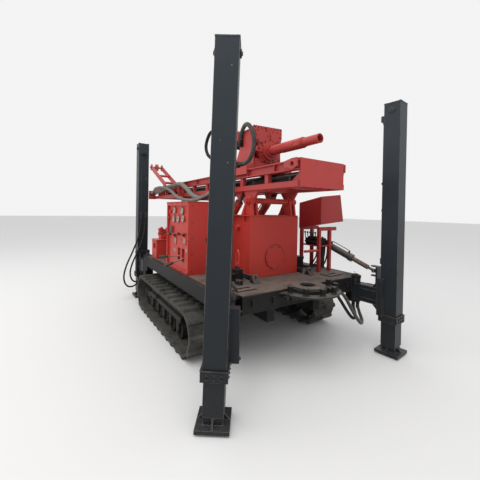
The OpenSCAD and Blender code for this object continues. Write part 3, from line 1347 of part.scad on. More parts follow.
module hoses_mast() placed() color(HOSE) {
    hose(MAST_HOSE_LARGE, large_hose_d, [1, 0, 0]);
    hose(MAST_HOSE_SMALL, head_hose_d, [1, 0, 0]);
}
module hose_head_rear() placed() color(BLACK) hose(HEAD_HOSE_REAR, head_hose_d, [1, 0, 0]);
module hose_head_front() placed() color(BLACK) hose(HEAD_HOSE_FRONT, head_hose_d, [1, 0, 0]);
module hoses_leg_rear_left() placed() color(BLACK) {
    hose(REAR_LEG_HOSE_OUTER, leg_hose_d, [0, 1, 0]);
    hose(REAR_LEG_HOSE_INNER, leg_hose_d, [0, 1, 0]);
}
module hoses_front_right() placed() color(BLACK) {
    hose(FRONT_HOSE_OUTER, front_hose_d, [-0.6, 0.7, 0.5]);
    hose(FRONT_HOSE_INNER, front_hose_d, [-0.6, 0.7, 0.5]);
}

module arm_front_left() arm(FRONT_LEFT);
module arm_front_right() arm(FRONT_RIGHT);
module arm_rear_left() arm(REAR_LEFT);
module arm_rear_right() arm(REAR_RIGHT);
module leg_front_left() leg(FRONT_LEFT);
module leg_front_right() leg(FRONT_RIGHT);
module leg_rear_left() leg(REAR_LEFT);
module leg_rear_right() leg(REAR_RIGHT);
module barrel_front_left() swing_barrel(FRONT_LEFT);
module barrel_front_right() swing_barrel(FRONT_RIGHT);
module barrel_rear_left() swing_barrel(REAR_LEFT);
module barrel_rear_right() swing_barrel(REAR_RIGHT);
module rod_front_left() swing_rod(FRONT_LEFT);
module rod_front_right() swing_rod(FRONT_RIGHT);
module rod_rear_left() swing_rod(REAR_LEFT);
module rod_rear_right() swing_rod(REAR_RIGHT);

chassis_frame();
deck_plate();
track_left();
track_right();
track_frame_left();
track_frame_right();
track_wheels_left();
track_wheels_right();
mast_pedestal();
drill_table();
engine();
radiator();
exhaust();
hydraulic_tank();
fuel_tank();
console();
valve_stand();
battery_box();
pump_box();
mast_rest();
cylinder_brackets();
mast_frame();
mast_foot();
feed_drive();
jib();
tilt_barrels();
tilt_rods();
rotary_head();
drive_motors();
spindle();
arm_front_left();
arm_front_right();
arm_rear_left();
arm_rear_right();
leg_front_left();
leg_front_right();
leg_rear_left();
leg_rear_right();
barrel_front_left();
barrel_front_right();
barrel_rear_left();
barrel_rear_right();
rod_front_left();
rod_front_right();
rod_rear_left();
rod_rear_right();
valve_bank();
hoses_mast();
hose_head_rear();
hose_head_front();
hoses_leg_rear_left();
hoses_front_right();
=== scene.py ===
"""Looks of a crawler rotary drilling rig on rubber tracks, its mast lying in transport position.

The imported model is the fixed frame. This script dresses its pieces with worn paint, steel and
rubber, and adds the hoses, gauges, levers, bolts and fittings that ride on them.
"""

import json
import logging
import math
from dataclasses import dataclass, field
from enum import Enum
from typing import Any, Iterable, Sequence

import bmesh
import bpy
from mathutils import Matrix, Vector

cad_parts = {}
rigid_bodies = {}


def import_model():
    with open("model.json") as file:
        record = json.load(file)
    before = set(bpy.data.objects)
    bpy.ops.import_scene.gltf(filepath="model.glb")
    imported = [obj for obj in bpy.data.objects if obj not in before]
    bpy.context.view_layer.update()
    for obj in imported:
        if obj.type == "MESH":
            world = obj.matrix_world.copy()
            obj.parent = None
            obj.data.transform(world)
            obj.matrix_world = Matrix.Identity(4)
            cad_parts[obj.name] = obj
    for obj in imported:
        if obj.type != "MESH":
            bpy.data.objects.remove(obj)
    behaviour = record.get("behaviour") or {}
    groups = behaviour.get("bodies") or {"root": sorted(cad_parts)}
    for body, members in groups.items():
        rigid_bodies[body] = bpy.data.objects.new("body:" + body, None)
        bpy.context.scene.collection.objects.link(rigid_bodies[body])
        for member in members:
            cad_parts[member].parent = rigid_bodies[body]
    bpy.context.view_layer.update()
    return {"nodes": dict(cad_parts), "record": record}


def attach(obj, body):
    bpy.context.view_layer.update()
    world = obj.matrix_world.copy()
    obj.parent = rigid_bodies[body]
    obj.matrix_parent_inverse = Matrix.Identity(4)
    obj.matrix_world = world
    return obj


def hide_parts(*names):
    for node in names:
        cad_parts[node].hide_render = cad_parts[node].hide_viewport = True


LOG = logging.getLogger("drilling_rig")
Point = Sequence[float]
RIGHT, LEFT = (1, 0, 0), (-1, 0, 0)
FORE, AFT = (0, -1, 0), (0, 1, 0)
UP = (0, 0, 1)
SIDES = ((-1, "left"), (1, "right"))
# Faces that meet at more than this are shaded apart
SHARP = math.radians(38)
# Edges whose faces meet at more than this (in radians) take a bevel, of so many faces
BEVELLED_FROM = 0.7
BEVEL_FACES = 2
# How strongly a bevelled direction that differs from the face's own shows as an edge
EDGE_GAIN = 4
# A bolt's washer, head and crown: from and to along it, radius at both ends (in head radii), sides
BOLT_STEPS = ((0, 0.25, 1.45, 1.45, 14), (0.2, 0.95, 1, 1, 6), (0.94, 1.05, 0.93, 0.72, 12))
BOLT_SUNK = 0.001
# The swing pins' places: distance from the machine's middle, then along it at both ends
PIN_X = 0.950
PIN_FRONT, PIN_REAR = -1.590, 1.170
# The mast's hinge: its place along the machine and its height
HINGE = (-1.020, 1.756)


class Slot(Enum):
    """The record's material slots."""

    RED = "red_paint"
    BLACK = "black_paint"
    SLATE = "slate_paint"
    GREY = "grey_paint"
    RUBBER = "rubber_hose"
    STEEL = "bright_steel"


class Plane(Enum):
    """The plane that a circle lies in, by its two axes."""

    XY = (0, 1)
    XZ = (0, 2)
    YZ = (1, 2)


# Shader maths


class Shade:
    """One output of a shader tree, with arithmetic that adds the nodes it needs."""

    def __init__(self, tree: bpy.types.NodeTree, socket: bpy.types.NodeSocket) -> None:
        """Wraps a socket.

        Args:
            tree: The tree that the socket belongs to.
            socket: The output that later nodes read.
        """
        self.tree = tree
        self.socket = socket

    def _math(self, operation: str, a: Any, b: Any = 0.0, clamp: bool = False) -> "Shade":
        """Adds a Math node.

        Args:
            operation: The node's operation.
            a: First value.
            b: Second value.
            clamp: Whether the result is kept from 0 to 1.

        Returns:
            The node's output.
        """
        node = self.tree.nodes.new("ShaderNodeMath")
        node.operation = operation
        node.use_clamp = clamp
        for place, value in enumerate((a, b)):
            if isinstance(value, Shade):
                self.tree.links.new(value.socket, node.inputs[place])
            else:
                node.inputs[place].default_value = float(value)
        return Shade(self.tree, node.outputs[0])

    def __add__(self, other: Any) -> "Shade":
        """Sum."""
        return self._math("ADD", self, other)

    __radd__ = __add__

    def __mul__(self, other: Any) -> "Shade":
        """Product."""
        return self._math("MULTIPLY", self, other)

    __rmul__ = __mul__

    def __sub__(self, other: Any) -> "Shade":
        """Difference."""
        return self._math("SUBTRACT", self, other)

    def __rsub__(self, other: Any) -> "Shade":
        """Difference with the value on the left."""
        return self._math("SUBTRACT", other, self)

    def clamped(self) -> "Shade":
        """The value kept from 0 to 1."""
        return self._math("ADD", self, 0.0, clamp=True)

    def above(self, edge: float, width: float) -> "Shade":
        """A soft step.

        Args:
            edge: Where the step is half way up.
            width: How wide the step is.

        Returns:
            0 below the step and 1 above it.
        """
        return ((self - (edge - width / 2)) * (1 / width)).clamped()

    def below(self, edge: float, width: float) -> "Shade":
        """A soft step down."""
        return 1 - self.above(edge, width)

    def most(self, other: Any) -> "Shade":
        """The larger of two values."""
        return self._math("MAXIMUM", self, other)


class ShaderBook:
    """Adds nodes to one material and joins them to its surface."""

    def __init__(self, name: str) -> None:
        """Starts a material.

        Args:
            name: The material's name.
        """
        self.material = bpy.data.materials.new(name)
        self.material.use_nodes = True
        self.tree = self.material.node_tree
        self.surface = self.tree.nodes["Principled BSDF"]
        self._place: Shade | None = None

    def node(self, kind: str, settings: dict[str, Any] | None = None,
             output: int | str = 0, **sockets: Any) -> Shade:
        """Adds any node.

        Args:
            kind: The node's type.
            settings: Its settings.
            output: Which output is returned.
            **sockets: Values or links, by the socket's name with _ for a blank, or in0, in1.

        Returns:
            The chosen output.
        """
        made = self.tree.nodes.new(kind)
        for name, value in (settings or {}).items():
            setattr(made, name, value)
        for name, value in sockets.items():
            by_place = name.startswith("in") and name[2:].isdigit()
            key = int(name[2:]) if by_place else name.replace("_", " ")
            if isinstance(value, Shade):
                self.tree.links.new(value.socket, made.inputs[key])
            else:
                made.inputs[key].default_value = value
        return Shade(self.tree, made.outputs[output])

    def place(self) -> Shade:
        """The point on the object, in metres."""
        if self._place is None:
            self._place = self.node("ShaderNodeTexCoord", output="Object")
        return self._place

    def scaled(self, size: Point) -> Shade:
        """The point, stretched by a factor on each axis."""
        return self.node("ShaderNodeMapping", Vector=self.place(), Scale=tuple(size))

    def axis(self, name: str) -> Shade:
        """One coordinate of the point: X, Y or Z."""
        return self.node("ShaderNodeSeparateXYZ", output=name, Vector=self.place())

    def facing(self, name: str) -> Shade:
        """One coordinate of the surface's direction."""
        normal = self.node("ShaderNodeNewGeometry", output="Normal")
        return self.node("ShaderNodeSeparateXYZ", output=name, Vector=normal)

    def noise(self, scale: float, detail: float = 3.0, rough: float = 0.6,
              stretch: Point | None = None) -> Shade:
        """Cloudy noise.

        Args:
            scale: Clouds to a metre.
            detail: How many finer layers it has.
            rough: How strong the finer layers are.
            stretch: A factor on each axis.

        Returns:
            A value about 0.5.
        """
        where = self.place() if stretch is None else self.scaled(stretch)
        return self.node("ShaderNodeTexNoise", Vector=where, Scale=scale, Detail=detail, Roughness=rough)

    def cells(self, scale: float) -> Shade:
        """Distance to the nearest of scattered points."""
        return self.node("ShaderNodeTexVoronoi", Vector=self.place(), Scale=scale)

    def edges(self, radius: float) -> Shade:
        """How close a point is to a sharp edge.

        Args:
            radius: How far from the edge it is felt.

        Returns:
            0 on a flat face, and more towards an edge.
        """
        soft = self.node("ShaderNodeBevel", {"samples": 6}, Radius=radius)
        sharp = self.node("ShaderNodeNewGeometry", output="Normal")
        alike = self.node("ShaderNodeVectorMath", {"operation": "DOT_PRODUCT"}, output="Value",
                          in0=soft, in1=sharp)
        return (1 - alike) * EDGE_GAIN

    def mix(self, share: Any, first: Any, second: Any) -> Shade:
        """Mixes two colours.

        Args:
            share: How much of the second one shows.
            first: A colour or a link.
            second: A colour or a link.

        Returns:
            The mixed colour.
        """
        node = self.tree.nodes.new("ShaderNodeMix")
        node.data_type = "RGBA"
        share_socket, first_socket, second_socket = (node.inputs[i] for i in (0, 6, 7))
        for socket, value in ((share_socket, share), (first_socket, first), (second_socket, second)):
            if isinstance(value, Shade):
                self.tree.links.new(value.socket, socket)
            elif isinstance(value, (int, float)):
                socket.default_value = float(value)
            else:
                socket.default_value = (*value, 1.0)
        return Shade(self.tree, node.outputs[2])  # The colour output follows a value and a vector

    def bump(self, height: Shade, strength: float, distance: float) -> Shade:
        """A bump from a height."""
        return self.node("ShaderNodeBump", Height=height, Strength=strength, Distance=distance)

    def dress(self, **values: Any) -> bpy.types.Material:
        """Joins values to the surface.

        Args:
            **values: The surface's sockets, with _ for a blank.

        Returns:
            The finished material.
        """
        for name, value in values.items():
            socket = self.surface.inputs[name.replace("_", " ")]
            if isinstance(value, Shade):
                self.tree.links.new(value.socket, socket)
            else:
                socket.default_value = value
        return self.material


def srgb(red: float, green: float, blue: float) -> tuple[float, float, float]:
    """A colour as a picture shows it, made linear.

    Args:
        red: Red, 0 to 255.
        green: Green, 0 to 255.
        blue: Blue, 0 to 255.

    Returns:
        The linear colour.
    """
    def line(value: float) -> float:
        """One channel."""
        share = value / 255
        return share / 12.92 if share <= 0.04045 else ((share + 0.055) / 1.055) ** 2.4
    return line(red), line(green), line(blue)


# Finishes


@dataclass(frozen=True)
class Finish:
    """A look that is built once, however many pieces wear it.

    Attributes:
        name: The material's name.
        slot: The record's slot for its pieces; not used.
    """

    name: str
    slot: Slot

    def make(self) -> bpy.types.Material:
        """Builds the material."""
        raise NotImplementedError


@dataclass(frozen=True)
class Paint(Finish):
    """Worn machine paint: bleached on top (on the drill table's black a painted wet sheen there), chipped at
    edges, dusty, and darker near the ground.

    Attributes:
        colour: The fresh paint.
        faded_and_sheen: The sun-bleached paint on faces that look up; on the drill table's worn black it is
            a painted wet sheen.
        chip: What shows where paint is gone.
        wear: How much of the edges is worn, 0 to 1.
        dust: How much dust lies on it, 0 to 1.
        rough: Roughness of the clean paint.
        dirty_below: Height under which mud and dust grow.
        dust_colour: The dust.
        grime: How much darker it is near the ground, 0 to 1.
        shine: Strength of its reflections.
    """

    colour: tuple[float, float, float]
    faded_and_sheen: tuple[float, float, float]
    chip: tuple[float, float, float]
    wear: float = 0.5
    dust: float = 0.3
    rough: float = 0.45
    dirty_below: float = 0.9
    dust_colour: tuple[float, float, float] = srgb(118, 110, 100)
    grime: float = 0.0
    shine: float = 0.4

    def darker(self, share: float) -> tuple[float, ...]:
        """The fresh paint at a share of its brightness."""
        return tuple(c * share for c in self.colour)

    def make(self) -> bpy.types.Material:
        """Builds the material."""
        book = ShaderBook(self.name)
        up = book.facing("Z").above(0.6, 0.5)
        broad = book.noise(1.7, 4)
        fine = book.noise(38, 5, 0.7)
        streak = book.noise(9, 3, 0.6, (2.2, 2.2, 0.22))
        grime = book.noise(5.5, 5, 0.65)
        # Clouds and faint runs in the paint, bleached where it looks up; on the drill table's worn black the
        # pale top is a painted wet sheen
        cloud = (broad.above(0.5, 0.5) * 0.55 + streak.above(0.56, 0.3) * 0.06).clamped()
        tone = book.mix(cloud, self.colour, self.darker(0.8))
        tone = book.mix((up * 0.75 + broad.above(0.62, 0.2) * 0.2).clamped(), tone, self.faded_and_sheen)
        stain = (streak.above(0.63, 0.12) * grime.above(0.5, 0.2) * 0.1).clamped()
        tone = book.mix(stain, tone, self.darker(0.4))
        # Darker towards the bottom, towards a quarter of the fresh paint, by the share given as grime
        near = (1 - book.axis("Z").above(1.35, 1.9)) * self.grime
        tone = book.mix(near.clamped(), tone, self.darker(0.25))
        # Chips at the edges and in scattered spots
        edge = book.edges(0.006)
        worn = (edge * grime.above(0.42, 0.3) * (1.5 * self.wear)).above(0.42, 0.25)
        spots = book.cells(17).below(0.075 + 0.05 * self.wear, 0.03) * grime.above(0.58, 0.08) * self.wear
        gone = worn.most(spots).clamped()
        tone = book.mix(gone, tone, self.chip)
        # Dust on top and near the ground
        low = (1 - book.axis("Z").above(self.dirty_below, 0.7)) * 0.4
        lying = (up * 0.8 + low) * fine.above(0.45, 0.5) * grime.above(0.4, 0.5)
        settled = (lying * (1.6 * self.dust)).clamped()
        tone = book.mix(settled, tone, self.dust_colour)
        rough = (gone * 0.25 + settled * 0.4 + fine * 0.12 + (self.rough - 0.05)).clamped()
        relief = book.bump(fine * 0.35 + grime * 0.6 - gone * 0.8, 0.25, 0.0015)
        return book.dress(Base_Color=tone, Roughness=rough, Normal=relief, Specular_IOR_Level=self.shine)


@dataclass(frozen=True)
class Rubber(Finish):
    """Dry rubber with dust in its low places.

    Attributes:
        colour: The clean rubber.
        dust_colour: The dust on it.
        dust: How much dust lies on it.
        grain: Scale of its fine grain.
    """

    colour: tuple[float, float, float] = srgb(52, 51, 49)
    dust_colour: tuple[float, float, float] = srgb(132, 126, 112)
    dust: float = 0.7
    grain: float = 90.0

    def make(self) -> bpy.types.Material:
        """Builds the material."""
        book = ShaderBook(self.name)
        grime = book.noise(6, 5, 0.65)
        fine = book.noise(self.grain, 4, 0.7)
        up = book.facing("Z").above(0.1, 1.2)
        lying = (up * 0.5 + 0.35) * grime.above(0.45, 0.4) * fine.above(0.35, 0.5)
        share = (lying * (1.5 * self.dust)).clamped()
        worn = book.edges(0.012).above(0.35, 0.5) * 0.35
        tone = book.mix(share, self.colour, self.dust_colour)
        tone = book.mix(worn, tone, srgb(104, 102, 96))
        return book.dress(Base_Color=tone, Roughness=share * 0.1 + 0.8,
                          Normal=book.bump(fine * 0.6 + grime, 0.4, 0.002), Specular_IOR_Level=0.12)


@dataclass(frozen=True)
class Steel(Finish):
    """Bare steel: chromed, turned or rusty.

    Attributes:
        colour: The bright metal.
        rust: What covers it in places.
        rust_share: How much is covered.
        rough: Roughness of the bright metal.
    """

    colour: tuple[float, float, float] = srgb(176, 172, 168)
    rust: tuple[float, float, float] = srgb(96, 66, 48)
    rust_share: float = 0.25
    rough: float = 0.25

    def make(self) -> bpy.types.Material:
        """Builds the material."""
        book = ShaderBook(self.name)
        grime = book.noise(7, 6, 0.7)
        fine = book.noise(70, 4, 0.7)
        covered = (grime.above(0.72 - 0.45 * self.rust_share, 0.16) * fine.above(0.4, 0.4)).clamped()
        tone = book.mix(covered, self.colour, self.rust)
        tone = book.mix(fine.above(0.6, 0.2) * 0.25, tone, srgb(70, 62, 56))
        return book.dress(Base_Color=tone, Metallic=1 - covered * 0.85,
                          Roughness=(covered * 0.5 + fine * 0.15 + self.rough).clamped(),
                          Normal=book.bump(fine + covered * 1.5, 0.25, 0.0008))


@dataclass(frozen=True)
class Plate(Finish):
    """Trodden steel deck: brown dust and rust over worn dark paint."""

    def make(self) -> bpy.types.Material:
        """Builds the material."""
        book = ShaderBook(self.name)
        grime = book.noise(2.6, 6, 0.7)
        patch = book.noise(6, 5, 0.7)
        fine = book.noise(60, 4, 0.75)
        up = book.facing("Z").above(0.5, 0.5)
        tone = book.mix(grime.above(0.48, 0.3), srgb(94, 88, 82), srgb(114, 100, 89))
        tone = book.mix(patch.above(0.56, 0.15) * 0.8, tone, srgb(68, 63, 59))
        tone = book.mix(fine.above(0.62, 0.2) * 0.5, tone, srgb(150, 132, 118))
        tone = book.mix(1 - up, tone, srgb(38, 37, 36))
        tone = book.mix(book.edges(0.004).above(0.4, 0.4) * 0.5, tone, srgb(140, 126, 114))
        return book.dress(Base_Color=tone, Roughness=fine * 0.2 + 0.62, Metallic=0.0,
                          Normal=book.bump(fine + patch, 0.4, 0.0015), Specular_IOR_Level=0.35)


@dataclass(frozen=True)
class Plain(Finish):
    """Moulded plastic, print or glass with a little grime.

    Attributes:
        colour: Its colour.
        rough: Its roughness.
        grime: How much grime lies on it.
    """

    colour: tuple[float, float, float]
    rough: float = 0.4
    grime: float = 0.2

    def make(self) -> bpy.types.Material:
        """Builds the material."""
        book = ShaderBook(self.name)
        cloud = book.noise(60, 4, 0.7)
        fine = book.noise(300, 3, 0.6)
        tone = book.mix((cloud.above(0.5, 0.3) * self.grime).clamped(), self.colour, srgb(104, 92, 78))
        return book.dress(Base_Color=tone, Roughness=(cloud * 0.2 + (self.rough - 0.08)).clamped(),
                          Normal=book.bump(fine, 0.1, 0.0004))


RED = Paint("red_paint", Slot.RED, srgb(186, 50, 40), srgb(200, 88, 78), srgb(92, 56, 46), 0.35, 0.14)
MAST_RED = Paint("mast_red_paint", Slot.RED, srgb(178, 58, 54),
                 srgb(200, 98, 94), srgb(88, 54, 48), 0.5, 0.22)
HOOD_RED = Paint("hood_red_paint", Slot.RED, srgb(158, 40, 38),
                 srgb(176, 74, 70), srgb(84, 50, 44), 0.4, 0.16)
SLATE = Paint("slate_paint", Slot.SLATE, srgb(46, 52, 58), srgb(62, 69, 75), srgb(124, 120, 114),
              0.6, 0.14, 0.38, 0.5, grime=0.75, shine=0.22)
BLACK = Paint("black_paint", Slot.BLACK, srgb(25, 25, 26), srgb(46, 45, 43), srgb(82, 72, 64),
              0.6, 0.22, 0.5, 0.5, shine=0.15)
BARREL = Paint("barrel_paint", Slot.BLACK, srgb(66, 60, 57),
               srgb(104, 96, 90), srgb(112, 96, 86), 0.8, 0.2, 0.4, 0.5)
GREY = Paint("grey_paint", Slot.GREY, srgb(74, 80, 84), srgb(92, 96, 98), srgb(90, 78, 70), 0.5, 0.3)
# The drill table's worn black: its pale second colour, on faces that look up, is a painted wet sheen; its
# chips and dust are wear
WORN_BLACK_PAINTED_SHEEN = Paint("worn_black_paint", Slot.BLACK, srgb(28, 28, 29),
                   srgb(92, 92, 90), srgb(112, 104, 96), 0.8, 0.3, shine=0.15)
RUBBER = Rubber("dusty_rubber", Slot.RUBBER, srgb(44, 44, 43), srgb(112, 109, 102), 0.6)
HOSE_BLACK = Rubber("hose_rubber", Slot.RUBBER, srgb(34, 34, 35), srgb(88, 85, 80), 0.3, 160.0)
HOSE_GREY = Rubber("grey_hose", Slot.RUBBER, srgb(112, 111, 105), srgb(140, 137, 128), 0.5, 120.0)
CHROME = Steel("bright_steel", Slot.STEEL, srgb(150, 142, 136), srgb(96, 78, 66), 0.35, 0.3)
ROD = Steel("rod_steel", Slot.STEEL, srgb(126, 114, 106), srgb(84, 66, 56), 0.45, 0.3)
BARE = Steel("bare_steel", Slot.STEEL, srgb(150, 146, 140), srgb(98, 70, 54), 0.45, 0.4)
BURNT = Steel("burnt_steel", Slot.GREY, srgb(96, 84, 76), srgb(96, 58, 40), 0.75, 0.6)
DECK = Plate("deck_steel", Slot.BLACK)
PAINTED_BOLT = Paint("painted_bolt", Slot.RED, srgb(148, 48, 44),
                     srgb(178, 88, 82), srgb(84, 56, 48), 0.7, 0.25)
# A dark red that paints the shadow round the pedestal's round cover
COVER_SHADOW_PAINT = Paint("shaded_red_paint", Slot.RED, srgb(84, 26, 22), srgb(120, 44, 38), srgb(60, 36, 30), 0.3, 0.1)
OILY = Steel("oily_steel", Slot.BLACK, srgb(70, 67, 64), srgb(74, 54, 42), 0.4, 0.42)
DIAL = Plain("dial_white", Slot.RED, srgb(176, 174, 166), 0.35, 0.45)
LABEL = Plain("blank_label", Slot.RED, srgb(150, 146, 138), 0.5, 0.6)
INK = Plain("dial_black", Slot.BLACK, srgb(22, 22, 24), 0.5, 0.0)
PLASTIC = Plain("black_plastic", Slot.BLACK, srgb(30, 30, 32), 0.42, 0.3)
KNOB_RED = Plain("knob_red", Slot.RED, srgb(186, 26, 22), 0.35, 0.2)
GLASS = Plain("sight_glass", Slot.RED, srgb(96, 84, 44), 0.12, 0.2)


class Finishes:
    """Makes each finish once."""

    def __init__(self) -> None:
        """Starts with none made."""
        self._made: dict[str, bpy.types.Material] = {}

    def get(self, finish: Finish) -> bpy.types.Material:
        """The material of a finish.

        Args:
            finish: The finish.

        Returns:
            Its material.
        """
        if finish.name not in self._made:
            self._made[finish.name] = finish.make()
        return self._made[finish.name]


# Making of pieces


def shown(thing: bpy.types.Object) -> None:
    """Links an object to the scene."""
    bpy.context.scene.collection.objects.link(thing)


def line_between(points: Sequence[Point], steps: int = 7) -> list[Vector]:
    """A smooth line through points.

    Args:
        points: The points that it passes.
        steps: How many short stretches lie between two of them.

    Returns:
        The line's points.
    """
    route = [Vector(p) for p in points]
    last = len(route) - 1
    ways = [(route[min(i + 1, last)] - route[max(i - 1, 0)]).normalized() for i in range(last + 1)]
    line = []
    for i in range(last):
        a, b = route[i], route[i + 1]
        pull = (b - a).length
        for step in range(steps):
            t = step / steps
            line.append(a * (2 * t**3 - 3 * t**2 + 1) + b * (3 * t**2 - 2 * t**3)
                        + ways[i] * pull * (t**3 - 2 * t**2 + t) + ways[i + 1] * pull * (t**3 - t**2))
    return line + [route[-1]]


@dataclass
class Shape:
    """A mesh under work, in the machine's own frame and in metres.

    Attributes:
        bm: The mesh.
    """

    bm: bmesh.types.BMesh = field(default_factory=bmesh.new)

    def soften(self, verts: Iterable[bmesh.types.BMVert], bevel: float) -> None:
        """Bevels the sharp edges of new geometry.

        Args:
            verts: Its corners.
            bevel: Width of the bevel, or 0 for none.
        """
        if bevel > 0:
            edges = {e for v in verts for e in v.link_edges if e.calc_face_angle(0) > BEVELLED_FROM}
            bmesh.ops.bevel(self.bm, geom=list(edges), offset=bevel, segments=BEVEL_FACES,
                            profile=0.5, affect="EDGES", material=-1)

    def block(self, low: Point, high: Point, bevel: float = 0.0) -> None:
        """Adds a block.

        Args:
            low: Its lowest corner.
            high: Its highest corner.
            bevel: Bevel of its edges.
        """
        verts = bmesh.ops.create_cube(self.bm, size=1.0)["verts"]
        bmesh.ops.scale(self.bm, vec=Vector(high) - Vector(low), verts=verts)
        bmesh.ops.translate(self.bm, vec=(Vector(high) + Vector(low)) / 2, verts=verts)
        self.soften(verts, bevel)

    def round(self, start: Point, end: Point, radius: float, tip: float | None = None,
              sides: int = 24, bevel: float = 0.0) -> None:
        """Adds a round bar or cone.

        Args:
            start: Middle of its first end.
            end: Middle of its second end.
            radius: Radius at the start.
            tip: Radius at the end, or None for the same.
            sides: How many sides it has.
            bevel: Bevel of its ends.
        """
        a, b = Vector(start), Vector(end)
        verts = bmesh.ops.create_cone(self.bm, cap_ends=True, cap_tris=False, segments=sides, radius1=radius,
                                      radius2=radius if tip is None else tip, depth=(b - a).length)["verts"]
        turn = (b - a).to_track_quat("Z", "Y").to_matrix().to_4x4()
        bmesh.ops.transform(self.bm, matrix=Matrix.Translation((a + b) / 2) @ turn, verts=verts)
        self.soften(verts, bevel)

    def ball(self, at: Point, radius: float) -> None:
        """Adds a ball."""
        made = bmesh.ops.create_uvsphere(self.bm, u_segments=16, v_segments=10, radius=radius)
        bmesh.ops.translate(self.bm, vec=Vector(at), verts=made["verts"])

    def hoop(self, at: Point, way: Point, radius: float, thick: float, sides: int = 28) -> None:
        """Adds a round hoop.

        Args:
            at: Its middle.
            way: The direction that it is square to.
            radius: Radius of its centre line.
            thick: Radius of its own section.
            sides: How many stretches it has.
        """
        verts = bmesh.ops.create_circle(self.bm, segments=8, radius=thick)["verts"]
        place = Matrix.Translation((radius, 0, 0)) @ Matrix.Rotation(math.pi / 2, 4, "X")
        bmesh.ops.transform(self.bm, matrix=place, verts=verts)
        edges = list({e for v in verts for e in v.link_edges})
        before = set(self.bm.verts)
        bmesh.ops.spin(self.bm, geom=list(verts) + edges, axis=UP, cent=(0, 0, 0), steps=sides,
                       angle=2 * math.pi, use_merge=True)
        made = [v for v in self.bm.verts if v not in before or v in verts]
        bmesh.ops.recalc_face_normals(self.bm, faces=list({f for v in made for f in v.link_faces}))
        turn = Vector(way).to_track_quat("Z", "Y").to_matrix().to_4x4()
        bmesh.ops.transform(self.bm, matrix=Matrix.Translation(Vector(at)) @ turn, verts=made)

    def bolt(self, at: Point, way: Point, radius: float = 0.009) -> None:
        """Adds a hexagon bolt head on its washer.

        Args:
            at: Where it sits.
            way: The direction that its head points.
            radius: Radius of the head.
        """
        seat, out = Vector(at), Vector(way).normalized()
        for low, high, foot, tip, sides in BOLT_STEPS:
            start = seat - out * BOLT_SUNK if low == 0 else seat + out * radius * low
            self.round(start, seat + out * radius * high, radius * foot, radius * tip, sides)

    def bolts(self, places: Iterable[Point], way: Point, radius: float = 0.009) -> None:
        """Adds a bolt at each of several places."""
        for place in places:
            self.bolt(place, way, radius)

    def bead(self, start: Point, end: Point, radius: float = 0.0045) -> None:
        """Adds a weld bead, a row of overlapping round ripples.

        Args:
            start: Its first end.
            end: Its second end.
            radius: Radius of a ripple.
        """
        a, b = Vector(start), Vector(end)
        count = max(2, int((b - a).length / (radius * 1.6)))
        for i in range(count):
            p = a.lerp(b, (i + 0.1) / count)
            q = a.lerp(b, (i + 1.0) / count)
            self.round(p, q, radius, radius * 0.72, sides=6)


def around(middle: Point, radius: float, count: int, across: Plane = Plane.XZ,
           start: float = 0.0) -> list[Vector]:
    """Places on a circle.

    Args:
        middle: Its middle.
        radius: Its radius.
        count: How many places.
        across: The plane that it lies in.
        start: Angle of the first one, in degrees.

    Returns:
        The places.
    """
    places = []
    for i in range(count):
        turn = math.radians(start) + 2 * math.pi * i / count
        step = Vector((0, 0, 0))
        step[across.value[0]] = radius * math.cos(turn)
        step[across.value[1]] = radius * math.sin(turn)
        places.append(Vector(middle) + step)
    return places


def along(start: Point, end: Point, count: int) -> list[Vector]:
    """Evenly spaced places from one point to another, both included."""
    return [Vector(start).lerp(Vector(end), i / (count - 1)) for i in range(count)]


@dataclass
class Workshop:
    """Turns shapes into finished pieces that ride on the machine's bodies.

    Attributes:
        origin: The model's origin in the machine's frame.
        finishes: Where the materials come from.
    """

    origin: Vector
    finishes: Finishes

    def keep(self, thing: bpy.types.Object, finish: Finish, body: str = "chassis",
             slot: Slot | None = None) -> bpy.types.Object:
        """Puts an object into the scene, on its body and in its finish.

        Args:
            thing: The object.
            finish: Its finish.
            body: The body that it rides on.
            slot: The record's slot; not used.

        Returns:
            The object.
        """
        shown(thing)
        thing.data.materials.append(self.finishes.get(finish))
        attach(thing, body)
        LOG.info("%s rides on %s in %s", thing.name, body, finish.name)
        return thing

    def piece(self, name: str, shape: Shape, finish: Finish, body: str = "chassis",
              slot: Slot | None = None) -> bpy.types.Object:
        """Makes a piece of a shape.

        Args:
            name: Its name.
            shape: Its mesh, in the machine's frame.
            finish: Its finish.
            body: The body that it rides on.
            slot: The record's slot, passed on to keep, which does not use it.

        Returns:
            The piece.
        """
        bmesh.ops.translate(shape.bm, vec=-self.origin, verts=shape.bm.verts)
        mesh = bpy.data.meshes.new(name)
        shape.bm.to_mesh(mesh)
        shape.bm.free()
        mesh.shade_smooth()
        mesh.set_sharp_from_angle(angle=SHARP)
        return self.keep(bpy.data.objects.new(name, mesh), finish, body, slot)

    def tube(self, name: str, line: Sequence[Point], radius: float, finish: Finish,
             body: str = "chassis", slot: Slot | None = None, corners: int = 3) -> bpy.types.Object:
        """Makes a round tube along a line.

        Args:
            name: Its name.
            line: The points of its centre line, in the machine's frame.
            radius: Its radius.
            finish: Its finish.
            body: The body that it rides on.
            slot: The record's slot, passed on to keep, which does not use it.
            corners: Fineness of its round section.

        Returns:
            The tube, a curve of one open spline.
        """
        data = bpy.data.curves.new(name, "CURVE")
        data.dimensions = "3D"
        data.bevel_depth = radius
        data.bevel_resolution = corners
        data.use_fill_caps = True
        spline = data.splines.new("POLY")
        spline.points.add(len(line) - 1)
        for point, place in zip(spline.points, line):
            point.co = (*(Vector(place) - self.origin), 1.0)
        spline.use_smooth = True
        return self.keep(bpy.data.objects.new(name, data), finish, body, slot)


@dataclass
class Trim:
    """Pieces that are added to one part of the machine.

    Attributes:
        shop: Where pieces are made.
    """

    shop: Workshop

    def build(self) -> None:
        """Makes the pieces."""
        raise NotImplementedError


# Cords


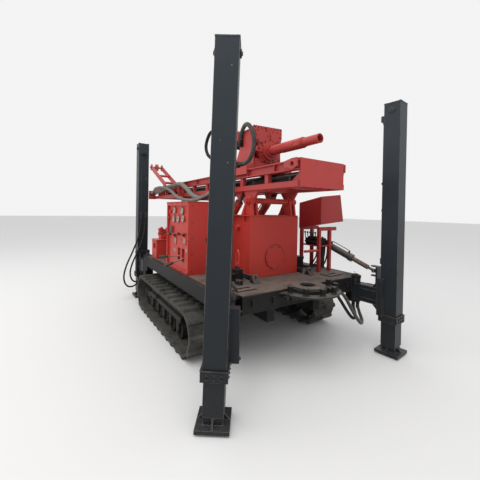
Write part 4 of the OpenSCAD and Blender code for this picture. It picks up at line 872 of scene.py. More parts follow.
@dataclass(frozen=True)
class Route:
    """One free hose: its points are those of the solid that it stands for.

    Attributes:
        name: The hose's name.
        node: The solid that it replaces.
        body: The body that it rides on.
        diameter: Its diameter in metres.
        points: Its centre line in the machine's frame, in millimetres.
        ribbed: Whether a spiral guard is wound round it.
    """

    name: str
    node: str
    body: str
    diameter: float
    points: tuple[tuple[float, float, float], ...]
    ribbed: bool = False


ROUTES = (
    Route("mast_hose_large", "hoses_mast", "mast", 0.076, (
        (-425, 2660, 2000), (-425, 2540, 2000), (-425, 2000, 2050), (-425, 1500, 2080),
        (-425, 1050, 2095), (-425, 780, 2010), (-425, 480, 1870), (-425, 150, 1815),
        (-425, -250, 1900), (-425, -470, 2000), (-425, -600, 2000))),
    Route("mast_hose_small", "hoses_mast", "mast", 0.050, (
        (-505, 2660, 2000), (-505, 2560, 2000), (-505, 2250, 2080), (-505, 1900, 2080),
        (-505, 1400, 2000), (-505, 950, 1850), (-505, 600, 1795), (-505, 100, 1790),
        (-505, -300, 1860), (-505, -480, 1900), (-505, -600, 1900))),
    Route("head_hose_rear", "hose_head_rear", "head", 0.050, (
        (-176, -410, 2636), (-176, -340, 2636), (-225, -215, 2730), (-285, -80, 2810),
        (-310, 80, 2830), (-310, 200, 2750), (-310, 250, 2630), (-310, 180, 2500),
        (-318, 0, 2400), (-326, -170, 2290), (-330, -320, 2225), (-330, -430, 2225))),
    Route("head_hose_front", "hose_head_front", "head", 0.050, (
        (-249, -670, 2560), (-249, -670, 2620), (-262, -740, 2700), (-292, -850, 2722),
        (-318, -960, 2680), (-330, -1050, 2580), (-336, -1095, 2460), (-338, -1075, 2340),
        (-334, -995, 2253), (-330, -890, 2225), (-330, -790, 2225)), True),
    Route("rear_leg_hose_outer", "hoses_leg_rear_left", "arm_rear_left_body", 0.028, (
        (-990, 1513, 1500), (-990, 1513, 1390), (-1040, 1490, 1120), (-1140, 1475, 860),
        (-1250, 1465, 600), (-1285, 1462, 400), (-1230, 1457, 260), (-1120, 1450, 245),
        (-1025, 1443, 340), (-990, 1440, 440), (-990, 1440, 505))),
    Route("rear_leg_hose_inner", "hoses_leg_rear_left", "arm_rear_left_body", 0.028, (
        (-910, 1513, 1500), (-910, 1513, 1390), (-960, 1482, 1120), (-1050, 1450, 880),
        (-1150, 1430, 660), (-1188, 1422, 490), (-1150, 1417, 360), (-1070, 1410, 325),
        (-990, 1403, 380), (-960, 1400, 450), (-960, 1400, 505))),
    Route("front_hose_outer", "hoses_front_right", "chassis", 0.036, (
        (430, -1665, 740), (430, -1735, 740), (470, -1795, 670), (560, -1825, 520),
        (670, -1825, 390), (790, -1790, 310), (895, -1730, 310), (948, -1660, 370),
        (955, -1628, 440), (955, -1628, 470)), True),
    Route("front_hose_inner", "hoses_front_right", "chassis", 0.036, (
        (430, -1665, 690), (430, -1700, 690), (465, -1742, 615), (560, -1765, 480),
        (660, -1760, 390), (765, -1725, 360), (850, -1670, 365), (898, -1615, 410),
        (905, -1600, 445), (905, -1600, 470))),
)


@dataclass
class Hoses(Trim):
    """The free hydraulic hoses, with their end sleeves and spiral guards.

    Attributes:
        sleeve: Length of an end sleeve in hose diameters.
        guard_pitch: Distance between two turns of a spiral guard.
        guard_wire: Radius of the guard's wire.
        guard_sides: Stretches in one turn of a guard.
    """

    sleeve: float = 1.5
    guard_pitch: float = 0.012
    guard_wire: float = 0.0022
    guard_sides: int = 9

    def guard(self, route: Route, line: list[Vector]) -> bpy.types.Object:
        """Winds the spiral guard round a hose.

        Args:
            route: The hose.
            line: Its centre line in metres.

        Returns:
            The guard.
        """
        wound = route.diameter / 2 + 0.0008
        aslant = Vector((1.0, 0.13, 0.09))
        reach, turns = 0.0, []
        for a, b in zip(line[4:-5], line[5:-4]):
            length = (b - a).length
            steps = max(1, round(length / self.guard_pitch * self.guard_sides))
            way = (b - a).normalized()
            side = way.cross(aslant).normalized()
            other = way.cross(side)
            for step in range(steps):
                turn = 2 * math.pi * (reach + length * step / steps) / self.guard_pitch
                out = side * math.cos(turn) + other * math.sin(turn)
                turns.append(a.lerp(b, step / steps) + out * wound)
            reach += length
        return self.shop.tube(route.name + "_guard", turns, self.guard_wire,
                              HOSE_GREY, route.body, corners=0)

    def sleeves(self, route: Route, line: list[Vector]) -> None:
        """Makes the crimped steel sleeves at both ends of a hose.

        Args:
            route: The hose.
            line: Its centre line in metres.
        """
        shape = Shape()
        radius = route.diameter / 2
        for end, inner in ((line[0], line[3]), (line[-1], line[-4])):
            way = (inner - end).normalized()
            shape.round(end, end + way * radius * 0.7, radius * 1.22, sides=6, bevel=0.001)
            shape.round(end + way * radius * 0.6, end + way * radius * 2 * self.sleeve, radius + 0.003,
                        sides=20, bevel=0.0015)
            for ring in (1.2, 1.8, 2.4):
                shape.hoop(end + way * radius * ring, way, radius + 0.0025, 0.0018, 20)
        self.shop.piece(route.name + "_sleeves", shape, OILY, route.body)

    def build(self) -> None:
        for route in ROUTES:
            points = [Vector(p) / 1000 for p in route.points]
            line = line_between(points)
            length = sum((b - a).length for a, b in zip(line, line[1:]))
            finish = HOSE_GREY if route.node == "hoses_mast" else HOSE_BLACK
            hose = self.shop.tube(route.name, line, route.diameter / 2, finish, route.body, corners=5)
            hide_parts(route.node)
            parts = [self.guard(route, line)] if route.ribbed else []
            tuple(line[0] - self.shop.origin)
            self.sleeves(route, line)
            LOG.info("%s is %.3f m long", route.name, length)


# Pieces of the sub-assemblies


@dataclass
class ControlPanel(Trim):
    """Gauges, knobs, meter and levers on the control console.

    Attributes:
        face: The panel's face across the machine.
        gauges: Each gauge's place along the machine, its height and how far its needle has turned.
        rim: Outer radius of a gauge.
        sweep: Degrees from a dial's first tick to its last.
        ticks: How many ticks a dial has.
        numbers: How many of them have a number.
        small: Places of the small levers along the machine, and their heights.
        slots: Middles of the long levers' slots along the machine.
    """

    face: float = -0.925
    gauges: tuple[tuple[float, float, float], ...] = (
        (-0.376, 1.618, 35), (-0.100, 1.620, -20), (-0.404, 1.515, -120), (-0.234, 1.509, -95),
        (-0.074, 1.504, -120))
    rim: float = 0.046
    sweep: float = 270.0
    ticks: int = 21
    numbers: int = 5
    small: tuple[tuple[float, float], ...] = ((-0.129, 1.282), (-0.454, 1.308))
    slots: tuple[float, float] = (-0.401, -0.255)

    def turned(self, degrees: float) -> Vector:
        """The direction on a dial's face that is turned clockwise from its top."""
        turn = math.radians(degrees)
        return Vector((0, -math.sin(turn), math.cos(turn)))

    def dials(self) -> None:
        """Makes rims, pale dials, ticks with plain numbers and needles."""
        rims, dials, marks, needles = Shape(), Shape(), Shape(), Shape()
        out = Vector(LEFT)
        front = self.face - 0.016
        for along_y, height, angle in self.gauges:
            middle = Vector((front, along_y, height))
            rims.hoop(middle + out * 0.001, out, self.rim - 0.003, 0.0042, 36)
            rims.bolts(around(middle - out * 0.013, self.rim + 0.010, 3, Plane.YZ, 90), out, 0.004)
            dials.round(middle - out * 0.001, middle + out * 0.0008, self.rim - 0.004, sides=36)
            self.scale(middle + out * 0.0012, marks)
            way = self.turned(angle)
            needles.round(middle + out * 0.003 - way * 0.010, middle + out * 0.003 + way * 0.031,
                          0.0016, 0.0004, sides=6)
            needles.round(middle, middle + out * 0.0045, 0.005, sides=16)
            place = f"{round(height * 1000)}_{round(-along_y * 1000)}"
            for i in range(self.numbers):
                self.number(f"gauge_{place}_{i}", str(i * 10), middle, i)
        self.shop.piece("gauge_rims", rims, CHROME, slot=Slot.BLACK)
        self.shop.piece("gauge_dials", dials, DIAL)
        self.shop.piece("gauge_marks", marks, INK)
        self.shop.piece("gauge_needles", needles, INK)

    def scale(self, middle: Vector, marks: Shape) -> None:
        """Adds the ticks of one dial, the numbered ones longer.

        Args:
            middle: The dial's middle.
            marks: The mesh that they go into.
        """
        numbered = (self.ticks - 1) // (self.numbers - 1)
        for i in range(self.ticks):
            way = self.turned(self.sweep * (i / (self.ticks - 1) - 0.5)) * self.rim
            inner, thick = (0.66, 0.0009) if i % numbered == 0 else (0.74, 0.0005)
            marks.round(middle + way * inner, middle + way * 0.84, thick, sides=4)

    def number(self, name: str, word: str, middle: Vector, place: int) -> None:
        """Makes one plain number of a dial.

        Args:
            name: The piece's name.
            word: The number.
            middle: The dial's middle.
            place: Which of the numbered ticks it stands at, from 0.
        """
        text = bpy.data.curves.new(name, "FONT")
        text.body = word
        text.size = 0.011
        text.align_x = "CENTER"
        text.align_y = "CENTER"
        text.extrude = 0.0002
        text.resolution_u = 2
        holder = bpy.data.objects.new(name, text)
        shown(holder)
        bpy.context.view_layer.update()
        mesh = bpy.data.meshes.new_from_object(holder)
        bpy.data.objects.remove(holder)
        way = self.turned(self.sweep * (place / (self.numbers - 1) - 0.5))
        at = middle + Vector((-0.0012, 0, 0)) + way * self.rim * 0.5
        upright = Matrix(((0, 0, -1, 0), (-1, 0, 0, 0), (0, 1, 0, 0), (0, 0, 0, 1)))
        mesh.transform(Matrix.Translation(at - self.shop.origin) @ upright)
        self.shop.keep(bpy.data.objects.new(name, mesh), INK)

    def knobs(self) -> None:
        """Makes the red and black knobs, the meter's dark window and the blank plates."""
        red, black, plates, meter = Shape(), Shape(), Shape(), Shape()
        for shape, y, z, radius in ((red, 0.058, 1.606, 0.0225), (black, 0.120, 1.510, 0.0205)):
            shape.round((self.face - 0.0125, y, z), (self.face - 0.0275, y, z),
                        radius, radius * 0.92, 28, 0.003)
            shape.hoop((self.face - 0.002, y, z), RIGHT, radius * 0.95, 0.003)
        meter.block((self.face - 0.0235, -0.043, 1.307), (self.face - 0.018, 0.063, 1.403), 0.002)
        meter.block((self.face - 0.0245, -0.030, 1.338), (self.face - 0.0225, 0.050, 1.388), 0.001)
        for i in range(4):
            y = -0.022 + 0.022 * i
            meter.round((self.face - 0.023, y, 1.322), (self.face - 0.027, y, 1.322), 0.005, sides=14)
        for y, z in self.small:
            plates.block((self.face - 0.0092, y - 0.037, z - 0.100),
                         (self.face - 0.0075, y + 0.037, z - 0.040), 0.0005)
        for y, z in ((-0.094, 1.080), (-0.500, 1.119)):
            plates.block((self.face - 0.002, y - 0.034, z - 0.020),
                         (self.face + 0.0005, y + 0.034, z + 0.020), 0.0005)
        self.shop.piece("stop_knob", red, KNOB_RED)
        self.shop.piece("throttle_knob", black, PLASTIC)
        self.shop.piece("hour_meter", meter, PLASTIC)
        self.shop.piece("blank_plates", plates, LABEL)

    def levers(self) -> None:
        """Makes rubber boots, shanks and grips of the levers."""
        boots, grips, shanks = Shape(), Shape(), Shape()
        for y, z in self.small:
            for step, radius in ((0.009, 0.024), (0.016, 0.021), (0.023, 0.018), (0.030, 0.014)):
                boots.hoop((self.face - step, y + step * 0.1, z + step * 0.2),
                           (-1, 0.1, 0.2), radius - 0.004, 0.0045)
            grips.round((self.face - 0.066, y + 0.009, z + 0.016),
                        (self.face - 0.098, y + 0.013, z + 0.0245), 0.0165, 0.018, 20, 0.004)
        for slot, z, end_y, end_z in zip(self.slots, (1.024, 1.020), (-0.375, -0.140), (0.926, 1.008)):
            base, tip = Vector((self.face + 0.064, slot, z)), Vector((-1.153, end_y, end_z))
            way = (base - tip).normalized()
            shanks.round(tip + way * 0.1, base, 0.0095, sides=16)
            grips.round(tip - way * 0.001, tip + way * 0.112, 0.0172, 0.0165, 24, 0.004)
            for ring in range(6):
                grips.hoop(tip + way * (0.02 + 0.014 * ring), way, 0.0168, 0.0018, 20)
            for z in (-0.090, 0.086):
                low = Vector((self.face - 0.002, slot - 0.048, 1.045 + z))
                shanks.block(low, low + Vector((0.003, 0.096, 0.004)), 0.0005)
        self.shop.piece("lever_boots", boots, HOSE_BLACK)
        self.shop.piece("lever_grips", grips, PLASTIC)
        self.shop.piece("lever_shanks", shanks, BARE, slot=Slot.BLACK)

    def sheets(self) -> None:
        """Makes screws of the panel, the side door's edge and its latch."""
        shape = Shape()
        out = Vector(LEFT)
        for z in (0.845, 1.250, 1.712):
            shape.bolts(along((-0.953, -0.606, z), (-0.953, 0.150, z), 5), out, 0.0055)
        for x in (-0.900, -0.670):
            shape.bolts(along((x, -0.620, 0.880), (x, -0.620, 1.680), 5), FORE, 0.0055)
        shape.round((-0.700, -0.619, 1.260), (-0.700, -0.628, 1.260), 0.017, sides=24, bevel=0.002)
        shape.block((-0.704, -0.632, 1.235), (-0.696, -0.626, 1.285), 0.001)
        self.shop.piece("console_screws", shape, OILY)

    def build(self) -> None:
        """Makes everything on the console."""
        self.dials()
        self.knobs()
        self.levers()
        self.sheets()


@dataclass
class HeadTrim(Trim):
    """Bolts, plugs, weld beads and fittings of the rotary head.

    Attributes:
        front: Front of the gear case.
        back: Back of the gear case.
        spindle: Height of the spindle.
        flange: Left and right row of the gear case's bolts.
        motors: Middles of both motors across the machine.
        carriage: Height of the carriage's plates.
    """

    front: float = -0.950
    back: float = -0.560
    spindle: float = 2.400
    flange: tuple[float, float] = (-0.222, 0.203)
    motors: tuple[float, float] = (-0.110, 0.096)
    carriage: float = 2.172

    def bolts(self) -> None:
        """Makes the bolts of the gear case, its covers and the carriage."""
        z = self.spindle
        left, right = self.flange
        bolts = Shape()
        bolts.bolts(around((0, self.front - 0.014, z), 0.129, 12), FORE, 0.009)
        bolts.bolts(around((-0.118, self.front - 0.012, z + 0.190), 0.084, 8), FORE, 0.007)
        bolts.bolts(around((0.098, self.front - 0.009, z + 0.200), 0.070, 6), FORE, 0.007)
        bolts.bolts(along((left, self.front, z + 0.288), (right, self.front, z + 0.306), 9), FORE, 0.007)
        bolts.bolts(along((left, self.front, z + 0.200), (left, self.front, z + 0.288), 3), FORE, 0.007)
        bolts.bolts(along((right, self.front, z + 0.205), (right, self.front, z + 0.306), 3), FORE, 0.007)
        rear_row = along((left + 0.010, self.back, z + 0.285), (right - 0.010, self.back, z + 0.302), 7)
        bolts.bolts(rear_row, AFT, 0.008)
        for y in (self.front + 0.015, self.back - 0.012):
            bolts.bolts(along((left, y, z + 0.3035), (right, y, z + 0.3205), 13), UP, 0.008)
        y, top = self.front - 0.02, self.carriage - 0.0005
        for x in (-0.34, 0.24):
            bolts.bolts(along((x, y, top), (x + 0.10, y, top), 3), UP, 0.010)
        self.shop.piece("head_bolts", bolts, PAINTED_BOLT, "head")

    def fittings(self) -> None:
        """Makes plugs, the breather and the bolts and unions of the motors and the swivel."""
        z = self.spindle
        plugs = Shape()
        plugs.round((0.150, self.front, z + 0.07), (0.150, self.front - 0.014, z + 0.07), 0.016, sides=6)
        plugs.round((0.02, self.front + 0.20, z + 0.295),
                    (0.02, self.front + 0.20, z + 0.335), 0.014, sides=20)
        plugs.round((0.02, self.front + 0.20, z + 0.333),
                    (0.02, self.front + 0.20, z + 0.352), 0.024, 0.020, 20, 0.003)
        for x in self.motors:
            corners = [(x + sx * 0.064, self.back + 0.022, z + 0.165 + sz * 0.064)
                       for sx in (-1, 1) for sz in (-1, 1)]
            plugs.bolts(corners, AFT, 0.009)
            plugs.bolts(around((x, self.back + 0.196, z + 0.165), 0.040, 5), AFT, 0.006)
            for d in (-0.024, 0.024):
                plugs.round((x + d, self.back + 0.09, z + 0.280),
                            (x + d, self.back + 0.09, z + 0.292), 0.0165, sides=6)
        plugs.bolts(around((0, self.back + 0.06, z - 0.02), 0.066, 8), AFT, 0.006)
        self.shop.piece("head_fittings", plugs, OILY, "head")

    def welds(self) -> None:
        """Makes the beads along the carriage."""
        welds = Shape()
        for side in (-1, 1):
            welds.bead((side * 0.224, self.front + 0.05, self.carriage),
                       (side * 0.224, self.back + 0.10, self.carriage), 0.006)
            welds.bead((side * 0.351, self.front - 0.04, 2.138),
                       (side * 0.351, self.back + 0.12, 2.138), 0.004)
        self.shop.piece("head_welds", welds, MAST_RED, "head")

    def pipes(self) -> None:
        """Makes the formed pipes behind the motors."""
        z = self.spindle
        for i, x in enumerate((-0.134, -0.086, 0.072, 0.120)):
            start = Vector((x, self.back + 0.09, z + 0.29))
            route = [start, start + Vector((0, 0, 0.02)), start + Vector((0.005, 0.035, 0.045))]
            for share, y, height in ((0.6, 0.17, 0.27), (0.4, 0.205, 0.16),
                                     (0.4, 0.17, 0.05), (0.3, 0.10, 0.03)):
                route.append(Vector((x * share, self.back + y, z + height)))
            self.shop.tube(f"motor_pipe_{i + 1}", line_between(route), 0.009, OILY, "head")

    def build(self) -> None:
        """Makes everything on the head."""
        self.bolts()
        self.fittings()
        self.welds()
        self.pipes()


@dataclass
class SpindleTrim(Trim):
    """Bolts of the spindle's flange and the ring at its mouth."""

    def build(self) -> None:
        """Makes the pieces that turn with the spindle."""
        bolts = Shape()
        bolts.bolts(around((0, -1.026, 2.400), 0.074, 8), FORE, 0.007)
        self.shop.piece("spindle_bolts", bolts, PAINTED_BOLT, "drill_spindle")
        mouth = Shape()
        mouth.hoop((0, -1.7985, 2.400), AFT, 0.0435, 0.0022, 48)
        mouth.hoop((0, -1.7935, 2.400), AFT, 0.0372, 0.0016, 48)
        self.shop.piece("spindle_mouth", mouth, BURNT, "drill_spindle", slot=Slot.RED)


@dataclass
class FeedChains(Trim):
    """Roller chains of the feed, laid over their plain strands.

    Attributes:
        pitch: Distance between two pins.
        middle: Distance of a chain from the machine's middle.
        strands: Heights of the upper and the lower strand.
        reach: Where the strands start and end along the machine.
    """

    pitch: float = 0.0381
    middle: float = 0.170
    strands: tuple[float, ...] = (2.100, 2.000)
    reach: tuple[float, float] = (-1.740, 2.590)

    def build(self) -> None:
        """Makes the links of both chains."""
        for side, name in SIDES:
            shape = Shape()
            count = int((self.reach[1] - self.reach[0]) / self.pitch)
            for z in self.strands:
                for i in range(count):
                    y = self.reach[0] + i * self.pitch
                    half = 0.0142 if i % 2 else 0.0128
                    middle = side * self.middle
                    for x in (middle - half, middle + half):
                        shape.block((x - 0.0012, y - 0.004, z - 0.0115),
                                    (x + 0.0012, y + self.pitch + 0.004, z + 0.0115))
                    shape.round((middle - 0.0165, y, z), (middle + 0.0165, y, z), 0.0052, sides=8)
            self.shop.piece(f"feed_chain_{name}", shape, OILY, "mast", slot=Slot.STEEL)


@dataclass
class MastTrim(Trim):
    """Weld beads, wear strips, clamped lines and bolts of the mast.

    Attributes:
        half: Half of the mast's width.
        foot: Its front end.
        ribs: How many ribs a girder has.
        rib_pitch: Distance between two ribs.
    """

    half: float = 0.350
    foot: float = -1.850
    ribs: int = 9
    rib_pitch: float = 0.5

    def welds(self) -> None:
        """Makes the beads at the mast's foot, posts and girder ribs."""
        shape = Shape()
        for side in (-1, 1):
            post, web, cheek = (side * (self.half + out) for out in (-0.015, -0.004, 0.003))
            for z in (1.937, 2.038):
                for i in range(self.ribs):
                    y = self.foot + 0.012 + (i + 1) * self.rib_pitch
                    shape.bead((post, y - 0.034, z), (post, y + 0.034, z), 0.0035)
            for i in range(self.ribs):
                y = self.foot + 0.368 + i * self.rib_pitch
                shape.bead((web, y, 2.052), (web, y, 2.128), 0.003)
            shape.bead((web, self.foot + 0.014, 1.878), (web, self.foot + 0.014, 1.934))
            shape.bead((cheek, self.foot + 0.012, 2.072), (cheek, self.foot + 0.012, 2.150))
        self.shop.piece("mast_welds", shape, MAST_RED, "mast")

    def rails(self) -> None:
        """Makes the bright strips that the head's carriage rubs."""
        shape = Shape()
        for side in (-1, 1):
            x = side * (self.half - 0.050)
            for low, high in ((self.foot + 0.10, -1.000), (-0.430, 2.670)):
                shape.block((x - 0.019, low, 2.1398), (x + 0.019, high, 2.1403))
        self.shop.piece("carriage_tracks", shape, BARE, "mast")

    def lines(self) -> None:
        """Makes the dark lines that lie clamped inside the mast."""
        clamps = Shape()
        lanes = ((-0.245, 1.958, 0.017), (-0.205, 1.955, 0.014), (-0.225, 1.985, 0.013),
                 (0.235, 1.957, 0.016), (0.200, 1.953, 0.012))
        start = self.foot + 0.06
        for i, (x, z, radius) in enumerate(lanes):
            route = [Vector((x, start, z + 0.02))]
            for step in range(1, 14):
                sway = 0.010 * math.sin(step * 1.7 + i * 2.1)
                rise = 0.006 * math.cos(step * 2.3 + i)
                route.append(Vector((x + sway, start + step * 0.33, z + rise)))
            self.shop.tube(f"mast_line_{i + 1}", line_between(route), radius, HOSE_BLACK, "mast", corners=2)
        for y in (-1.64, -0.99, 0.11, 0.81, 1.51, 2.21):
            clamps.block((-0.268, y - 0.015, 1.936), (-0.182, y + 0.015, 2.000), 0.004)
            clamps.block((0.180, y - 0.015, 1.936), (0.258, y + 0.015, 1.978), 0.004)
            clamps.bolts([(-0.225, y, 2.000), (0.219, y, 1.978)], UP, 0.006)
        self.shop.piece("mast_line_clamps", clamps, OILY, "mast")

    def fittings(self) -> None:
        """Makes bolts at hose plates, rims of the foot's lug holes and pins of the jib."""
        shape = Shape()
        holes = ((-0.370, 1.895), (-0.340, 1.895), (-0.525, 1.95), (-0.460, 1.95))
        for y, way in ((2.712, AFT), (-0.652, FORE)):
            shape.bolts([(x, y, z) for x, z in holes], way, 0.008)
        rise = math.radians(25)
        tip_y, tip_z = 2.760 + 1.330 * math.cos(rise), 2.210 + 1.330 * math.sin(rise)
        for side in (-1, 1):
            shape.hoop((side * (self.half + 0.0205), self.foot + 0.072, 2.100), RIGHT, 0.0225, 0.0028)
            shape.round((side * 0.149, tip_y, tip_z),
                        (side * 0.168, tip_y, tip_z), 0.030, sides=28, bevel=0.003)
            shape.round((side * 0.167, tip_y, tip_z), (side * 0.180, tip_y, tip_z), 0.017, sides=6)
            shape.bolts([(side * x, y, 2.152) for y in (2.74, 2.90) for x in (0.220, 0.300)], UP, 0.011)
        self.shop.piece("mast_bolts", shape, PAINTED_BOLT, "mast")

    def build(self) -> None:
        """Makes everything on the mast."""
        self.welds()
        self.rails()
        self.lines()
        self.fittings()


@dataclass
class PedestalTrim(Trim):
    """Cover screws, weld beads and shaft caps of the mast's pedestal.

    Attributes:
        front: Its front face.
        top: Height of the tank's top.
        cover: Height of the round cover's middle.
        cover_bolts: Radius of the circle of its screws.
        shaft: Place along the machine and height of the mast's hinge.
    """

    front: float = -1.112
    top: float = 1.580
    cover: float = 1.066
    cover_bolts: float = 0.132
    shaft: tuple[float, float] = HINGE

    def build(self) -> None:
        """Makes everything on the pedestal."""
        bolts, welds = Shape(), Shape()
        cover = Vector((0, self.front - 0.008, self.cover))
        bolts.bolts(around(cover, self.cover_bolts, 8, start=22.5), FORE, 0.008)
        # A dark red ring just outside the cover's rim, a painted shadow
        cover_shadow = Shape()
        cover_shadow.hoop(cover + Vector((0, 0.0065, 0)), FORE, 0.1525, 0.0038, 64)
        welds.hoop(cover - Vector((0, 0.001, 0)), FORE, 0.1465, 0.0038, 64)
        self.shop.piece("pedestal_cover_seam", cover_shadow, COVER_SHADOW_PAINT)
        for side in (-1, 1):
            bolts.bolts(around((side * 0.390, *self.shaft), 0.036, 4, Plane.YZ, 45), (side, 0, 0), 0.007)
            bolts.round((side * 0.404, *self.shaft), (side * 0.4065, *self.shaft), 0.020, sides=20)
            welds.bead((side * 0.345, self.front + 0.012, 0.845), (side * 0.345, self.front + 0.012, 1.566))
            for z in (0.843, self.top - 0.013):
                welds.bead((side * 0.346, self.front + 0.03, z), (side * 0.346, -0.665, z))
            for x in (0.2585, 0.351):
                welds.bead((side * x, -1.10, self.top + 0.002), (side * x, -0.94, self.top + 0.002))
        welds.bead((-0.37, self.front - 0.001, 0.843), (0.37, self.front - 0.001, 0.843))
        welds.bead((-0.37, self.front - 0.001, self.top - 0.012),
                   (0.37, self.front - 0.001, self.top - 0.012), 0.003)
        self.shop.piece("pedestal_bolts", bolts, PAINTED_BOLT)
        self.shop.piece("pedestal_welds", welds, RED)


@dataclass
class DeckTrim(Trim):
    """Weld beads, pins, bolts and small steel pieces on the deck and the drill table.

    Attributes:
        deck: Height of the deck.
        ring_y: Middle of the table's hole along the machine.
        front: Face of the front skirt.
        posts: How many posts stand on the drill table.
        post_ring: Radius of the arc that they stand on.
        post_foot: Height of their feet.
    """

    deck: float = 0.830
    ring_y: float = -1.664
    front: float = -1.630
    posts: int = 6
    post_ring: float = 0.2925
    post_foot: float = 0.802

    def table(self, welds: Shape, pins: Shape) -> Shape:
        """Adds the rims of the table's hole and posts.

        Args:
            welds: The mesh of the weld beads.
            pins: The mesh of the bright pins.

        Returns:
            The posts' dark sleeves.
        """
        sleeves = Shape()
        welds.hoop((0, self.ring_y, self.deck + 0.001), UP, 0.190, 0.004, 48)
        for i in range(self.posts):
            turn = math.radians(-172 + i * 164 / (self.posts - 1))
            reach = Vector((math.cos(turn), math.sin(turn), 0)) * self.post_ring
            at = Vector((0, self.ring_y, self.post_foot)) + reach
            foot, low, high, rim, top = (at + Vector((0, 0, z)) for z in (0.012, 0.014, 0.070,
                                                                          0.0735, 0.0765))
            welds.hoop(foot, UP, 0.0285, 0.0035, 24)
            welds.hoop(rim, UP, 0.0262, 0.0022, 24)
            sleeves.round(low, high, 0.0292, sides=28)
            pins.round(rim, top, 0.010, sides=16)
        return sleeves

    def build(self) -> None:
        """Makes everything on the deck."""
        bolts, welds, pins = Shape(), Shape(), Shape()
        for side in (-1, 1):
            for y in (-1.44, -0.95, 0.55, 1.02):
                bolts.bolts([(side * 0.80, y, self.deck), (side * 0.72, y, self.deck)], UP, 0.010)
            x = side * PIN_X
            for y in (PIN_FRONT, PIN_REAR):
                bolts.bolts(around((x, y, self.deck + 0.012), 0.030, 3), UP, 0.006)
                pins.round((x, y, self.deck + 0.011), (x, y, self.deck + 0.022), 0.010, sides=6)
            welds.bead((side * 0.39, -1.334, self.deck + 0.001),
                       (side * 0.47, -1.334, self.deck + 0.001), 0.005)
            welds.bead((side * 0.818, self.front - 0.001, 0.650),
                       (side * 0.818, self.front - 0.001, 0.820), 0.005)
            for y in (-1.501, -1.349):
                welds.bead((side * 0.56, y, self.deck + 0.004), (side * 0.80, y, self.deck + 0.004))
        for x in (-0.80, 0.30):
            welds.bead((x, self.front - 0.001, 0.8205), (x + 0.50, self.front - 0.001, 0.8205), 0.004)
        sleeves = self.table(welds, pins)
        self.shop.piece("deck_bolts", bolts, OILY)
        self.shop.piece("deck_welds", welds, BLACK)
        self.shop.piece("deck_pins", pins, BARE)
        self.shop.piece("drill_table_sleeves", sleeves, BLACK)
        self.pipes()

    def pipes(self) -> None:
        """Makes the formed pipes of the jack valves and the red line beside the stand."""
        leg = ((-0.558, 0.990), (-0.558, 1.100), (-0.556, 1.150), (-0.553, 1.178))
        lanes = (-1.150, -1.150, -1.143, -1.120, -1.108, -1.097, -1.090, -1.090)
        u_turn = [(x, y, z) for (x, z), y in zip(leg + leg[::-1], lanes)]
        self.shop.tube("jack_valve_pipe", line_between(u_turn), 0.0095, RED)
        for i, y in enumerate((-1.150, -1.090)):
            low = [(-0.638, y, 0.920), (-0.690, y, 0.915), (-0.730, y - 0.05, 0.890),
                   (-0.745, y - 0.15, 0.860), (-0.760, y - 0.27, 0.846), (-0.800, -1.480 - 0.02 * i, 0.846)]
            self.shop.tube(f"jack_line_{i + 1}", line_between(low), 0.008, HOSE_BLACK)
        self.shop.tube("stand_line", line_between([(0.640, -1.236, 1.120), (0.392, -1.236, 1.120)]),
                       0.0172, RED)
        for i in range(5):
            y = -1.183 + 0.046 * i
            lane = 0.720 + 0.020 * i
            drop = [(0.884, y, 1.225), (0.893, y, 1.222), (0.898, y, 1.205), (0.895, y, 1.120),
                    (0.875, y, 1.000), (0.830, y + 0.02, 0.900)]
            run = [(lane + 0.03, -0.970, 0.850), (lane, -0.900, 0.8405), (lane, -0.600, 0.8405),
                   (lane, -0.300, 0.850), (lane, -0.255, 0.858)]
            self.shop.tube(f"valve_line_{i + 1}", line_between(drop + run), 0.0095, HOSE_BLACK)


